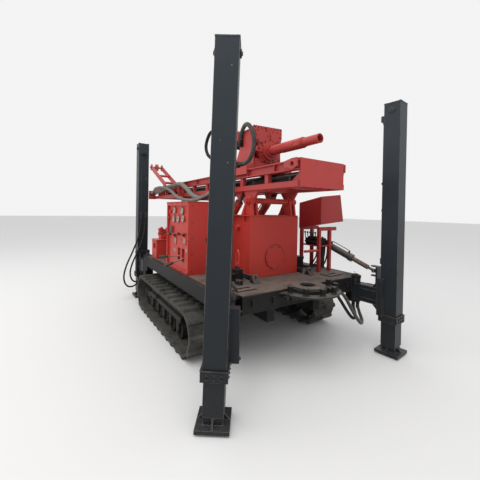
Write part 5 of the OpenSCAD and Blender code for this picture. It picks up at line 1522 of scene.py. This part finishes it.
@dataclass
class TrackTrim(Trim):
    """Hub caps, bolts and pins of the running gear on both sides.

    Attributes:
        middle: Distance of a track's middle from the machine's middle.
        outer: Distance of a track frame's outer face.
        wheel_y: Distance of both end wheels' axles along the machine.
        axle_z: Height of these axles.
        roller_z: Height of the rollers' axles.
        roller_pitch: Distance between two rollers.
    """

    middle: float = 0.930
    outer: float = 1.040
    wheel_y: float = 0.872
    axle_z: float = 0.278
    roller_z: float = 0.1613
    roller_pitch: float = 0.270

    def build(self) -> None:
        """Makes the pieces of both sides."""
        for side, name in SIDES:
            out = Vector((side, 0, 0))
            caps, bolts = Shape(), Shape()
            face = side * self.outer
            for i in range(5):
                y = (i - 2) * self.roller_pitch
                caps.round((face, y, self.roller_z),
                           (face + side * 0.008, y, self.roller_z), 0.026, 0.022, 20, 0.002)
                bolts.bolts([(face, y, self.roller_z + 0.060), (face, y, self.roller_z + 0.110)], out, 0.009)
                hub = side * (self.middle + 0.0785)
                bolts.bolts(around((hub - side * 0.0005, y, self.roller_z), 0.070, 6, Plane.YZ), out, 0.007)
            caps.round((face, self.wheel_y, self.axle_z),
                       (face + side * 0.012, self.wheel_y, self.axle_z), 0.040, 0.036, 28, 0.003)
            bolts.bolts(around((face, self.wheel_y, self.axle_z), 0.050, 4, Plane.YZ, 45), out, 0.006)
            hub = side * 0.990
            caps.round((hub, -self.wheel_y, self.axle_z),
                       (hub + side * 0.026, -self.wheel_y, self.axle_z), 0.058, 0.050, 32, 0.004)
            bolts.bolts(around((hub, -self.wheel_y, self.axle_z), 0.082, 12, Plane.YZ), out, 0.009)
            ring = side * 0.954
            bolts.bolts(around((ring, -self.wheel_y, self.axle_z), 0.140, 12, Plane.YZ, 15), out, 0.010)
            caps.block((face, 0.300, 0.300), (face + side * 0.010, 0.420, 0.350), 0.002)
            caps.round((face + side * 0.009, 0.330, 0.325),
                       (face + side * 0.020, 0.330, 0.325), 0.010, sides=6)
            caps.round((face + side * 0.019, 0.330, 0.325),
                       (face + side * 0.028, 0.330, 0.325), 0.004, sides=10)
            self.shop.piece(f"hub_caps_{name}", caps, BLACK)
            self.shop.piece(f"running_gear_bolts_{name}", bolts, OILY)


@dataclass(frozen=True)
class Corner:
    """One jack corner of the machine.

    Attributes:
        name: Its place in words, as in the names of the bodies.
        side: -1 on the left, 1 on the right.
        end: -1 at the front, 1 at the rear.
        splay: Outward swing of its arm in degrees.
        lean: Lean of its leg tube in degrees.
        top: Height of the tube's top.
    """

    name: str
    side: int
    end: int
    splay: float
    lean: float
    top: float

    def at(self, x: float, y: float, z: float, on_leg: bool = False) -> Vector:
        """A point given in the arm's own frame.

        Args:
            x: Outward from the arm.
            y: Along the arm from its pin.
            z: Height.
            on_leg: Whether the point leans with the leg tube.

        Returns:
            The point in the machine's frame.
        """
        if on_leg:
            lean = math.radians(self.lean)
            x, z = (x * math.cos(lean) - (z - self.top) * math.sin(lean),
                    self.top + x * math.sin(lean) + (z - self.top) * math.cos(lean))
        turn = math.radians(self.splay)
        pin_y = PIN_FRONT if self.end == -1 else PIN_REAR
        return Vector((self.side * (PIN_X + x * math.cos(turn) + y * math.sin(turn)),
                       pin_y + self.end * (y * math.cos(turn) - x * math.sin(turn)), z))

    def way(self, x: float, y: float) -> Vector:
        """A level direction given in the arm's own frame."""
        return self.at(x, y, 1.0) - self.at(0, 0, 1.0)

    @property
    def arm(self) -> str:
        """The body of its arm."""
        return f"arm_{self.name}_body"

    @property
    def leg(self) -> str:
        """The body of its inner leg."""
        return f"leg_{self.name}_body"


CORNERS = (Corner("front_left", -1, -1, 35, 1.3, 2.900), Corner("front_right", 1, -1, 6, 0, 2.900),
           Corner("rear_left", -1, 1, 0, 0, 2.840), Corner("rear_right", 1, 1, 0, 0, 2.840))


@dataclass
class LegTrim(Trim):
    """Bolts, weld beads and unions of the four jack corners.

    Attributes:
        reach: Distance of a leg's middle from its pin.
        half: Half of a tube's width.
        low: Height of a tube's lower end.
        front_pipes: Height where the front tubes' pipes start.
        rear_pipes: Height where the rear tubes' pipes start.
    """

    reach: float = 0.450
    half: float = 0.090
    low: float = 0.375
    front_pipes: float = 1.030
    rear_pipes: float = 1.500

    def bolts(self, corner: Corner) -> None:
        """Makes the bolts of a leg tube's cap, its foot collar and its lugs.

        Args:
            corner: The corner.
        """
        bolts = Shape()
        for x in (-0.074, 0.074):
            for y in (-0.074, 0.074):
                bolts.bolt(corner.at(x, self.reach + y, corner.top, True), UP, 0.009)
        edge = self.half + 0.0145
        for z in (self.low + 0.025, self.low + 0.058):
            for shift in (-0.055, 0.0, 0.055):
                for sign in (-1, 1):
                    along_x = corner.at(sign * edge, self.reach + shift, z, True)
                    along_y = corner.at(shift, self.reach + sign * edge, z, True)
                    bolts.bolt(along_x, corner.way(sign, 0), 0.008)
                    bolts.bolt(along_y, corner.way(0, sign), 0.008)
        for sign in (-1, 1):
            for z in (0.47, 0.84):
                bolts.bolt(corner.at(sign * 0.121, 0.375, z), corner.way(sign, 0), 0.011)
        self.shop.piece(f"leg_bolts_{corner.name}", bolts, OILY, corner.arm)

    def welds(self, corner: Corner) -> None:
        """Makes the beads of a leg tube, its collar and its arm.

        Args:
            corner: The corner.
        """
        welds = Shape()
        collar = self.low + 0.0805
        for sign in (-1, 1):
            welds.bead(corner.at(sign * 0.0885, self.reach + 0.0885, 0.876, True),
                       corner.at(sign * 0.0885, self.reach + 0.0885, corner.top - 0.02, True), 0.0032)
            welds.bead(corner.at(sign * 0.105, self.reach + 0.104, collar, True),
                       corner.at(sign * 0.105, self.reach - 0.104, collar, True), 0.004)
            for y, z in ((0.32, 0.7405), (0.30, 0.5395)):
                welds.bead(corner.at(sign * 0.071, 0.12, z), corner.at(sign * 0.071, y, z), 0.004)
        welds.bead(corner.at(-0.104, self.reach + 0.104, collar, True),
                   corner.at(0.104, self.reach + 0.104, collar, True), 0.004)
        self.shop.piece(f"leg_welds_{corner.name}", welds, SLATE, corner.arm)

    def unions(self, corner: Corner) -> None:
        """Makes the unions and clamps of the pipes on a leg tube.

        Args:
            corner: The corner.
        """
        unions = Shape()
        face, top = self.reach - self.half, corner.top
        pipe_y = face - 0.017
        base = self.rear_pipes if corner.end == 1 else self.front_pipes
        for x in (-0.040, 0.040):
            for z in (base + 0.034, base + 0.62, top - 0.225):
                low, middle, high = (corner.at(x, pipe_y, z + up, True) for up in (0, 0.020, 0.034))
                unions.round(low, middle, 0.0155, sides=6)
                unions.round(middle, high, 0.0125, 0.010, 14)
            for z in (base + 0.053, (base + top) / 2 + 0.013, top - 0.147):
                unions.bolt(corner.at(x, pipe_y - 0.011, z, True), corner.way(0, -1), 0.006)
        for x in (-0.03, 0.03):
            unions.round(corner.at(x, face - 0.042, top - 0.165, True),
                         corner.at(x, face - 0.056, top - 0.165, True), 0.012, sides=6)
        self.shop.piece(f"leg_unions_{corner.name}", unions, OILY, corner.arm)

    def foot(self, corner: Corner) -> None:
        """Makes the weld beads of a foot.

        Args:
            corner: The corner.
        """
        welds = Shape()
        shift = (corner.top - 0.045) * math.sin(math.radians(corner.lean))
        for sign in (-1, 1):
            welds.bead(corner.at(shift - 0.078, self.reach + sign * 0.074, 0.046),
                       corner.at(shift + 0.078, self.reach + sign * 0.074, 0.046), 0.0045)
            welds.bead(corner.at(shift + sign * 0.074, self.reach - 0.078, 0.046),
                       corner.at(shift + sign * 0.074, self.reach + 0.078, 0.046), 0.0045)
        self.shop.piece(f"foot_welds_{corner.name}", welds, SLATE, corner.leg)

    def build(self) -> None:
        """Makes the pieces of all corners."""
        for corner in CORNERS:
            self.bolts(corner)
            self.welds(corner)
            self.unions(corner)
            self.foot(corner)


@dataclass
class SwingTrim(Trim):
    """Gland rings and ports of the swing cylinders, found from the joints of their rods.

    Attributes:
        joints: The record's joints.
        bore: Radius of a barrel.
        front_length: Length of a front barrel.
        rear_length: Length of a rear barrel.
        port: Distance of the lower port from the root, and of the upper one from the mouth.
    """

    joints: list[dict[str, Any]]
    bore: float = 0.045
    front_length: float = 0.430
    rear_length: float = 0.400
    port: tuple[float, float] = (0.085, 0.075)

    def build(self) -> None:
        """Makes the pieces of the four cylinders."""
        turns = {j["child"]: j for j in self.joints if j["type"] == "hinge"}
        for slide in self.joints:
            if slide["type"] != "slide" or not slide["child"].startswith("rod_"):
                continue
            body = slide["parent"]
            root = Vector(turns[body]["pos_m"]) + self.shop.origin
            way = Vector(slide["axis"]).normalized()
            length = self.rear_length if "rear" in body else self.front_length
            ports = (self.port[0], length - self.port[1])
            side = way.cross(Vector(UP)).normalized()
            up = side.cross(way).normalized()
            shape = Shape()
            shape.hoop(root + way * (length - 0.006), way, self.bore + 0.006, 0.002)
            shape.hoop(root + way * (length - 0.048), way, self.bore + 0.006, 0.003)
            for reach in ports:
                port = root + way * reach + up * self.bore
                shape.round(port - up * 0.006, port + up * 0.016, 0.013, sides=16)
                shape.round(port + up * 0.015, port + up * 0.027, 0.0115, sides=6)
            name = body.replace("_body", "")
            self.shop.piece(f"{name}_ports", shape, OILY, body)
            near, far = (root + way * reach + up * self.bore for reach in ports)
            line = line_between([near + up * 0.026, near + up * 0.030 + way * 0.03,
                                 far + up * 0.030 - way * 0.05, far + up * 0.026])
            self.shop.tube(f"{name}_pipe", line, 0.005, OILY, body, corners=2)


@dataclass
class EngineTrim(Trim):
    """Injector pipes, belt, hoses, bolts and wires of the engine and its radiator.

    Attributes:
        front: Flywheel end of the engine.
        rear: Fan end of the engine.
        axis: Height of its crankshaft.
        half: Half of its width.
    """

    front: float = 0.130
    rear: float = 0.830
    axis: float = 1.060
    half: float = 0.150

    def block_pieces(self) -> None:
        """Makes the bolts and pipes along the engine."""
        head = self.axis + 0.240
        bolts, caps = Shape(), Shape()
        pitch = (self.rear - self.front - 0.160) / 6
        for i in range(6):
            y = self.front + 0.080 + (i + 0.5) * pitch
            bolts.bolts([(x, y + pitch * 0.4, head + 0.090) for x in (-0.120, 0.120)], UP, 0.008)
            bolts.bolts([(x, y, head + 0.150) for x in (-0.080, 0.080)], UP, 0.006)
            caps.round((0, y, head + 0.158), (0, y, head + 0.168), 0.010, sides=6)
            start = (self.half + 0.055, self.front + 0.28 + 0.03 * i, self.axis + 0.20)
            route = [start, (start[0] + 0.01, start[1], start[2] + 0.05),
                     (self.half - 0.005, y + 0.03, head + 0.10), (0.105, y + 0.02, head + 0.140),
                     (0.094, y + 0.02, head + 0.120)]
            self.shop.tube(f"injector_pipe_{i + 1}", line_between(route), 0.0035, BARE, corners=2)
        bolts.bolts(around((0, self.front + 0.020, self.axis), 0.188, 14), FORE, 0.007)
        bolts.bolts(around((0, self.front - 0.180, self.axis), 0.072, 6), FORE, 0.006)
        bolts.bolts(around((0, self.rear + 0.040, head - 0.050), 0.040, 6), AFT, 0.006)
        caps.block((self.half + 0.020, self.front + 0.25, self.axis + 0.150),
                   (self.half + 0.080, self.front + 0.46, self.axis + 0.205), 0.006)
        caps.round((0.09, self.front + 0.60, head + 0.149),
                   (0.09, self.front + 0.60, head + 0.185), 0.028, 0.026, 20, 0.004)
        self.shop.piece("engine_bolts", bolts, OILY, slot=Slot.GREY)
        self.shop.piece("engine_caps", caps, BLACK, slot=Slot.GREY)

    def belt(self) -> None:
        """Makes the fan belt round its two pulleys."""
        y = self.rear - 0.035
        low, high = Vector((0, y, self.axis)), Vector((0, y, self.axis + 0.190))
        loop = []
        for middle, radius, start in ((low, 0.083, math.pi), (high, 0.053, 0)):
            for i in range(25):
                turn = start + math.pi * i / 24
                loop.append(middle + Vector((math.cos(turn), 0, math.sin(turn))) * radius)
        joint = [(loop[0] + loop[-1]) / 2]
        self.shop.tube("fan_belt", joint + loop + joint, 0.007, HOSE_BLACK, corners=1)

    def lines(self) -> None:
        """Makes the coolant hoses, air hose and wires."""
        head = self.axis + 0.240
        routes = (
            ("coolant_upper", 0.026, [(0.220, 0.862, 1.570), (0.220, 0.820, 1.565), (0.200, 0.760, 1.520),
                                      (0.150, 0.740, 1.470), (0.110, 0.740, 1.430)]),
            ("coolant_lower", 0.026, [(-0.220, 0.862, 0.950), (-0.220, 0.800, 0.950), (-0.205, 0.740, 0.960),
                                      (-0.170, 0.720, 1.000), (-0.140, 0.720, 1.060)]),
            ("pump_suction", 0.030, [(0.060, -0.060, 1.040), (0.140, -0.080, 1.000), (0.280, -0.080, 0.960),
                                     (0.420, -0.060, 0.930), (0.575, -0.050, 0.920)]),
            ("pump_pressure", 0.017, [(-0.050, -0.070, 1.080), (-0.140, -0.110, 1.060),
                                      (-0.300, -0.200, 0.950), (-0.450, -0.240, 0.870),
                                      (-0.640, -0.250, 0.860)]),
            ("starter_wire", 0.006, [(-0.210, 0.290, 1.090), (-0.250, 0.250, 1.060), (-0.300, 0.100, 0.900),
                                     (-0.320, -0.100, 0.842), (-0.420, -0.400, 0.840),
                                     (-0.500, -0.640, 0.840)]),
            ("loom_upper", 0.009, [(-0.130, 0.170, head + 0.10), (-0.110, 0.300, head + 0.165),
                                   (-0.115, 0.500, head + 0.155), (-0.130, 0.700, head + 0.10)]),
            ("turbo_pipe", 0.020, [(-0.200, 0.480, head + 0.110), (-0.200, 0.540, head + 0.130),
                                   (-0.120, 0.620, head + 0.190), (0.060, 0.640, head + 0.185),
                                   (0.180, 0.620, head + 0.120), (0.190, 0.600, head + 0.060)]),
        )
        for name, radius, route in routes:
            finish = BURNT if name == "turbo_pipe" else HOSE_BLACK
            self.shop.tube(name, line_between(route), radius, finish)
        clips = Shape()
        for name, radius, route in routes[:4]:
            for a, b in ((route[0], route[1]), (route[-1], route[-2])):
                way = (Vector(b) - Vector(a)).normalized()
                clips.hoop(Vector(a) + way * radius * 0.7, way, radius + 0.001, 0.0028)
        self.shop.piece("hose_clips", clips, CHROME)

    def radiator(self) -> None:
        """Makes the guard wires of the fan, the cap's ears and the frame's bolts."""
        wires, bolts = Shape(), Shape()
        middle = Vector((0, 0.849, 1.250))
        for radius in (0.080, 0.125, 0.170, 0.215, 0.255):
            wires.hoop(middle, AFT, radius, 0.0028, 40)
        for spoke in around(middle, 0.275, 10):
            wires.round(middle + (spoke - middle) * 0.29, spoke, 0.0028, sides=6)
        for side in (-1, 1):
            bolts.bolts(along((side * 0.378, 1.060, 0.930), (side * 0.378, 1.060, 1.600), 6), AFT, 0.008)
        bolts.bolts(along((-0.30, 1.060, 1.600), (0.30, 1.060, 1.600), 5), AFT, 0.008)
        bolts.round((-0.250 - 0.055, 1.000, 1.683), (-0.250 + 0.055, 1.000, 1.683), 0.007, sides=10)
        self.shop.piece("fan_guard", wires, BLACK)
        self.shop.piece("radiator_bolts", bolts, OILY)

    def build(self) -> None:
        """Makes everything on the engine and the radiator."""
        self.block_pieces()
        self.belt()
        self.lines()
        self.radiator()


@dataclass
class BoxTrim(Trim):
    """Bolts, glasses, catches and weld beads of tanks, boxes, stand and muffler."""

    def tanks(self) -> None:
        """Makes the trim of both tanks."""
        bolts, welds, glass = Shape(), Shape(), Shape()
        for y in (-0.045, 0.325):
            bolts.bolts(along((0.635, y, 1.432), (0.865, y, 1.432), 4), UP, 0.008)
        bolts.bolts([(x, y, 1.432) for x in (0.635, 0.865) for y in (0.08, 0.20)], UP, 0.008)
        bolts.bolts(around((0.830, -0.150, 1.522), 0.056, 4, Plane.XY, 45), UP, 0.007)
        bolts.bolts([(0.954, -0.150, 1.175), (0.954, -0.150, 1.345)], RIGHT, 0.007)
        bolts.bolts([(0.750, 0.580, 1.307), (0.750, 0.850, 1.307)], UP, 0.009)
        glass.block((0.9535, -0.162, 1.195), (0.9565, -0.138, 1.325), 0.001)
        for x in (0.561, 0.939):
            for y, top in ((-0.259, 1.416), (0.399, 1.416), (0.471, 1.296), (0.959, 1.296)):
                welds.bead((x, y, 0.835), (x, y, top), 0.0035)
        self.shop.piece("tank_bolts", bolts, PAINTED_BOLT)
        self.shop.piece("tank_welds", welds, RED)
        self.shop.piece("level_glass", glass, GLASS)

    def stand(self) -> None:
        """Makes the trim of the hood, its stand and the valves."""
        bolts, nuts, balls = Shape(), Shape(), Shape()
        bolts.bolts(along((0.629, -1.260, 1.500), (0.629, -0.920, 1.440), 3), LEFT, 0.006)
        hood = ((0.655, 1.800), (0.985, 1.835), (0.655, 1.490), (1.010, 1.530))
        bolts.bolts([(x, -1.2865, z) for x, z in hood], FORE, 0.006)
        for i in range(5):
            y = -1.204 + 0.046 * i
            nuts.bolts([(0.700, y + 0.008, 1.270), (0.820, y + 0.008, 1.270)], UP, 0.006)
            nuts.round((0.866, y + 0.021, 1.225), (0.884, y + 0.021, 1.225), 0.0195, sides=6)
            balls.ball((0.641, y + 0.021, 1.350), 0.0145)
            balls.hoop((0.655, y + 0.021, 1.225), RIGHT, 0.0135, 0.004, 18)
        for y in (-1.150, -1.090):
            nuts.round((-0.558, y, 0.975), (-0.558, y, 0.992), 0.0175, sides=6)
            nuts.round((-0.612, y, 0.920), (-0.626, y, 0.920), 0.0165, sides=6)
        nuts.bolts([(x, -1.1805, z) for z in (0.860, 0.945) for x in (-0.590, -0.526)], FORE, 0.006)
        self.shop.piece("hood_bolts", bolts, PAINTED_BOLT)
        self.shop.piece("valve_nuts", nuts, OILY)
        self.shop.piece("valve_lever_balls", balls, PLASTIC)

    def muffler(self) -> None:
        """Makes the clamps and seams of the exhaust and the compressor's bolts."""
        bands = Shape()
        for y in (0.262, 0.480, 0.699):
            bands.hoop((-0.330, y, 1.500), AFT, 0.0905, 0.0035, 36)
        bands.hoop((-0.330, 0.200, 1.500), AFT, 0.037, 0.004)
        self.shop.piece("exhaust_bands", bands, BURNT)
        bolts = Shape()
        bolts.bolts([(x, y, 1.137) for y in (0.770, 0.880) for x in (-0.840, -0.710)], UP, 0.006)
        bolts.bolts(around((-0.775, 0.930, 1.220), 0.055, 6), AFT, 0.005)
        bolts.bolts(along((-0.940, 0.715, 1.10), (-0.940, 0.935, 1.10), 3), LEFT, 0.006)
        self.shop.piece("compressor_bolts", bolts, OILY)
        catches = Shape()
        for y in (-0.942, -0.768):
            catches.block((0.418, y - 0.014, 0.975), (0.4225, y + 0.014, 1.012), 0.0015)
            catches.hoop((0.4195, y, 0.958), RIGHT, 0.010, 0.0025, 16)
        self.shop.piece("battery_catches", catches, CHROME)

    def build(self) -> None:
        """Makes everything on tanks, boxes and stand."""
        self.tanks()
        self.stand()
        self.muffler()


@dataclass
class RaisingTrim(Trim):
    """Gland rings, ports and pipes of the mast raising cylinders.

    Attributes:
        side: Distance of a cylinder from the machine's middle.
        base: Place along the machine and height of the lower pin.
        pin: Place along the machine and height of the upper pin.
    """

    side: float = 0.240
    base: tuple[float, float] = (-0.120, 1.200)
    pin: tuple[float, float] = (-0.720, 1.822)

    def build(self) -> None:
        """Makes the pieces of both cylinders."""
        run = Vector((0, self.pin[0] - self.base[0], self.pin[1] - self.base[1])).normalized()
        up = Vector(RIGHT).cross(run).normalized()
        up = up if up.z > 0 else -up
        for sign, name in SIDES:
            foot = Vector((sign * self.side, *self.base))
            shape = Shape()
            for reach, radius, thick in ((0.754, 0.0515, 0.004), (0.700, 0.0555, 0.0035),
                                         (0.090, 0.0555, 0.0035)):
                shape.hoop(foot + run * reach, run, radius, thick)
            for reach in (0.125, 0.670):
                port = foot + run * reach
                shape.round(port + up * 0.050, port + up * 0.076, 0.016, sides=16)
                shape.round(port + up * 0.075, port + up * 0.088, 0.014, sides=6)
            self.shop.piece(f"raising_ports_{name}", shape, OILY, "raise_barrels")
            line = [foot + run * reach + up * lift
                    for reach, lift in ((0.125, 0.086), (0.165, 0.096), (0.62, 0.096), (0.670, 0.086))]
            self.shop.tube(f"raising_pipe_{name}", line_between(line),
                           0.007, OILY, "raise_barrels", corners=2)


@dataclass
class Studio:
    """Camera, floor and lights.

    Attributes:
        origin: The model's origin in the machine's frame.
        eye: The camera's place in the machine's frame.
        yaw: Its turn from the machine's length towards its right side, in degrees.
        pitch: How far it looks up, in degrees.
        roll: How far its picture is turned, in degrees.
        focal: Its focal length in pixels of the frame.
        frame_px: Width and height of the frame in pixels.
        centre_px: The picture's middle in pixels of the frame.
        sensor_mm: Width of its sensor in millimetres.
        ground: Half of the floor's width.
        sky: The sky's strength as a light.
        backdrop: The sky's strength as the camera sees it.
        lamps: Each soft lamp's name, place, width and power.
    """

    origin: Vector
    eye: Point = (-2.272, -3.796, 1.633)
    yaw: float = 33.0
    pitch: float = -0.5
    roll: float = 1.0
    focal: float = 280.0
    frame_px: float = 480.0
    centre_px: Point = (240.0, 213.0)
    sensor_mm: float = 36.0
    ground: float = 60.0
    sky: float = 0.86
    backdrop: float = 0.90
    lamps: tuple[tuple[str, Point, float, float], ...] = (
        ("sky_lamp", (-3.0, -4.0, 9.0), 8.0, 420.0), ("side_lamp", (-8.0, 2.0, 5.0), 5.0, 120.0))

    def camera(self) -> None:
        """Makes the camera."""
        data = bpy.data.cameras.new("photo_camera")
        data.sensor_width = self.sensor_mm
        data.lens = self.sensor_mm * self.focal / self.frame_px
        data.shift_y = (self.centre_px[1] - self.frame_px / 2) / self.frame_px
        data.clip_start = 0.05
        data.clip_end = 200
        cam = bpy.data.objects.new("photo_camera", data)
        shown(cam)
        yaw, pitch = math.radians(self.yaw), math.radians(self.pitch)
        look = Vector((math.sin(yaw) * math.cos(pitch), math.cos(yaw) * math.cos(pitch), math.sin(pitch)))
        turn = look.to_track_quat("-Z", "Y").to_matrix().to_4x4()
        turn = turn @ Matrix.Rotation(math.radians(self.roll), 4, "Z")
        cam.matrix_world = Matrix.Translation(Vector(self.eye) - self.origin) @ turn
        bpy.context.scene.camera = cam

    def floor(self) -> None:
        """Makes the pale floor."""
        mesh = bpy.data.meshes.new("floor")
        bm = bmesh.new()
        bmesh.ops.create_grid(bm, x_segments=1, y_segments=1, size=self.ground)
        bm.to_mesh(mesh)
        bm.free()
        ground = bpy.data.objects.new("floor", mesh)
        shown(ground)
        book = ShaderBook("pale_floor")
        lit = book.surface
        lit.inputs["Base Color"].default_value = (*srgb(226, 225, 223), 1.0)
        lit.inputs["Roughness"].default_value = 0.9
        mesh.materials.append(book.material)

    def lights(self) -> None:
        """Makes an overcast sky and the soft lamps."""
        world = bpy.data.worlds.new("overcast")
        bpy.context.scene.world = world
        world.use_nodes = True
        tree = world.node_tree
        back = tree.nodes["Background"]
        back.inputs["Color"].default_value = (0.97, 0.98, 1.0, 1.0)
        back.inputs["Strength"].default_value = self.sky
        white = tree.nodes.new("ShaderNodeBackground")
        white.inputs["Color"].default_value = (1.0, 1.0, 1.0, 1.0)
        white.inputs["Strength"].default_value = self.backdrop
        path = tree.nodes.new("ShaderNodeLightPath")
        blend = tree.nodes.new("ShaderNodeMixShader")
        either = tree.nodes.new("ShaderNodeMath")
        either.operation = "MAXIMUM"
        tree.links.new(path.outputs["Is Camera Ray"], either.inputs[0])
        tree.links.new(path.outputs["Is Transmission Ray"], either.inputs[1])
        tree.links.new(either.outputs[0], blend.inputs[0])
        tree.links.new(back.outputs[0], blend.inputs[1])
        tree.links.new(white.outputs[0], blend.inputs[2])
        tree.links.new(blend.outputs[0], tree.nodes["World Output"].inputs["Surface"])
        for name, where, size, power in self.lamps:
            data = bpy.data.lights.new(name, "AREA")
            data.shape = "SQUARE"
            data.size = size
            data.energy = power
            lamp = bpy.data.objects.new(name, data)
            shown(lamp)
            lamp.location = where
            lamp.rotation_mode = "QUATERNION"
            lamp.rotation_quaternion = (Vector(UP) - Vector(where)).to_track_quat("-Z", "Y")

    def build(self) -> None:
        """Makes the whole studio."""
        self.camera()
        self.floor()
        self.lights()
        bpy.context.scene.view_settings.view_transform = "Standard"


@dataclass
class Paintwork:
    """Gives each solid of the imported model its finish.

    Attributes:
        finishes: Where the materials come from.
        nodes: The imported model's objects by name.
    """

    finishes: Finishes
    nodes: dict[str, bpy.types.Object]

    def finish_of(self, name: str) -> Finish:
        """The finish of a node.

        Args:
            name: The node's name.

        Returns:
            Its finish.
        """
        exact = {
            "deck_plate": DECK, "engine": GREY, "exhaust": BURNT, "feed_drive": OILY,
            "tilt_rods": ROD, "valve_stand": HOOD_RED, "drill_table": WORN_BLACK_PAINTED_SHEEN,
            "drive_motors": BLACK, "radiator": BLACK, "battery_box": BLACK, "valve_bank": BLACK,
            "cylinder_brackets": BLACK, "chassis_frame": BLACK, "rotary_head": MAST_RED,
            "mast_frame": MAST_RED, "mast_foot": MAST_RED, "jib": MAST_RED, "spindle": MAST_RED,
        }
        starts = {"track_frame": BLACK, "track_wheels": BLACK, "track_": RUBBER, "arm_": SLATE,
                  "leg_": SLATE, "barrel_": BARREL, "rod_": ROD}
        if name in exact:
            return exact[name]
        for start, finish in starts.items():
            if name.startswith(start):
                return finish
        return RED

    def build(self) -> None:
        """Dresses every node."""
        for name, node in self.nodes.items():
            material = self.finishes.get(self.finish_of(name))
            node.data.materials.clear()
            node.data.materials.append(material)
            LOG.info("%s wears %s", name, material.name)


def origin_of(joints: Sequence[dict[str, Any]]) -> Vector:
    """The model's origin in the machine's frame, from the mast's hinge.

    Args:
        joints: The record's joints.

    Returns:
        The origin.
    """
    hinge = next(j for j in joints if j["name"] == "mast_raise")["pos_m"]
    return Vector((-hinge[0], HINGE[0] - hinge[1], 0.0))


def main() -> None:
    """Loads the frame, builds the studio, the cords and the looks."""
    logging.basicConfig(level=logging.INFO, format="%(message)s")
    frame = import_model()
    joints = frame["record"]["behaviour"]["joints"]
    origin = origin_of(joints)
    finishes = Finishes()
    Studio(origin).build()
    shop = Workshop(origin, finishes)
    Hoses(shop).build()
    Paintwork(finishes, frame["nodes"]).build()
    for trim in (ControlPanel(shop), HeadTrim(shop), SpindleTrim(shop), FeedChains(shop), MastTrim(shop),
                 PedestalTrim(shop), DeckTrim(shop), TrackTrim(shop), LegTrim(shop), SwingTrim(shop, joints),
                 EngineTrim(shop), BoxTrim(shop), RaisingTrim(shop)):
        trim.build()


if __name__ == "__main__":
    main()
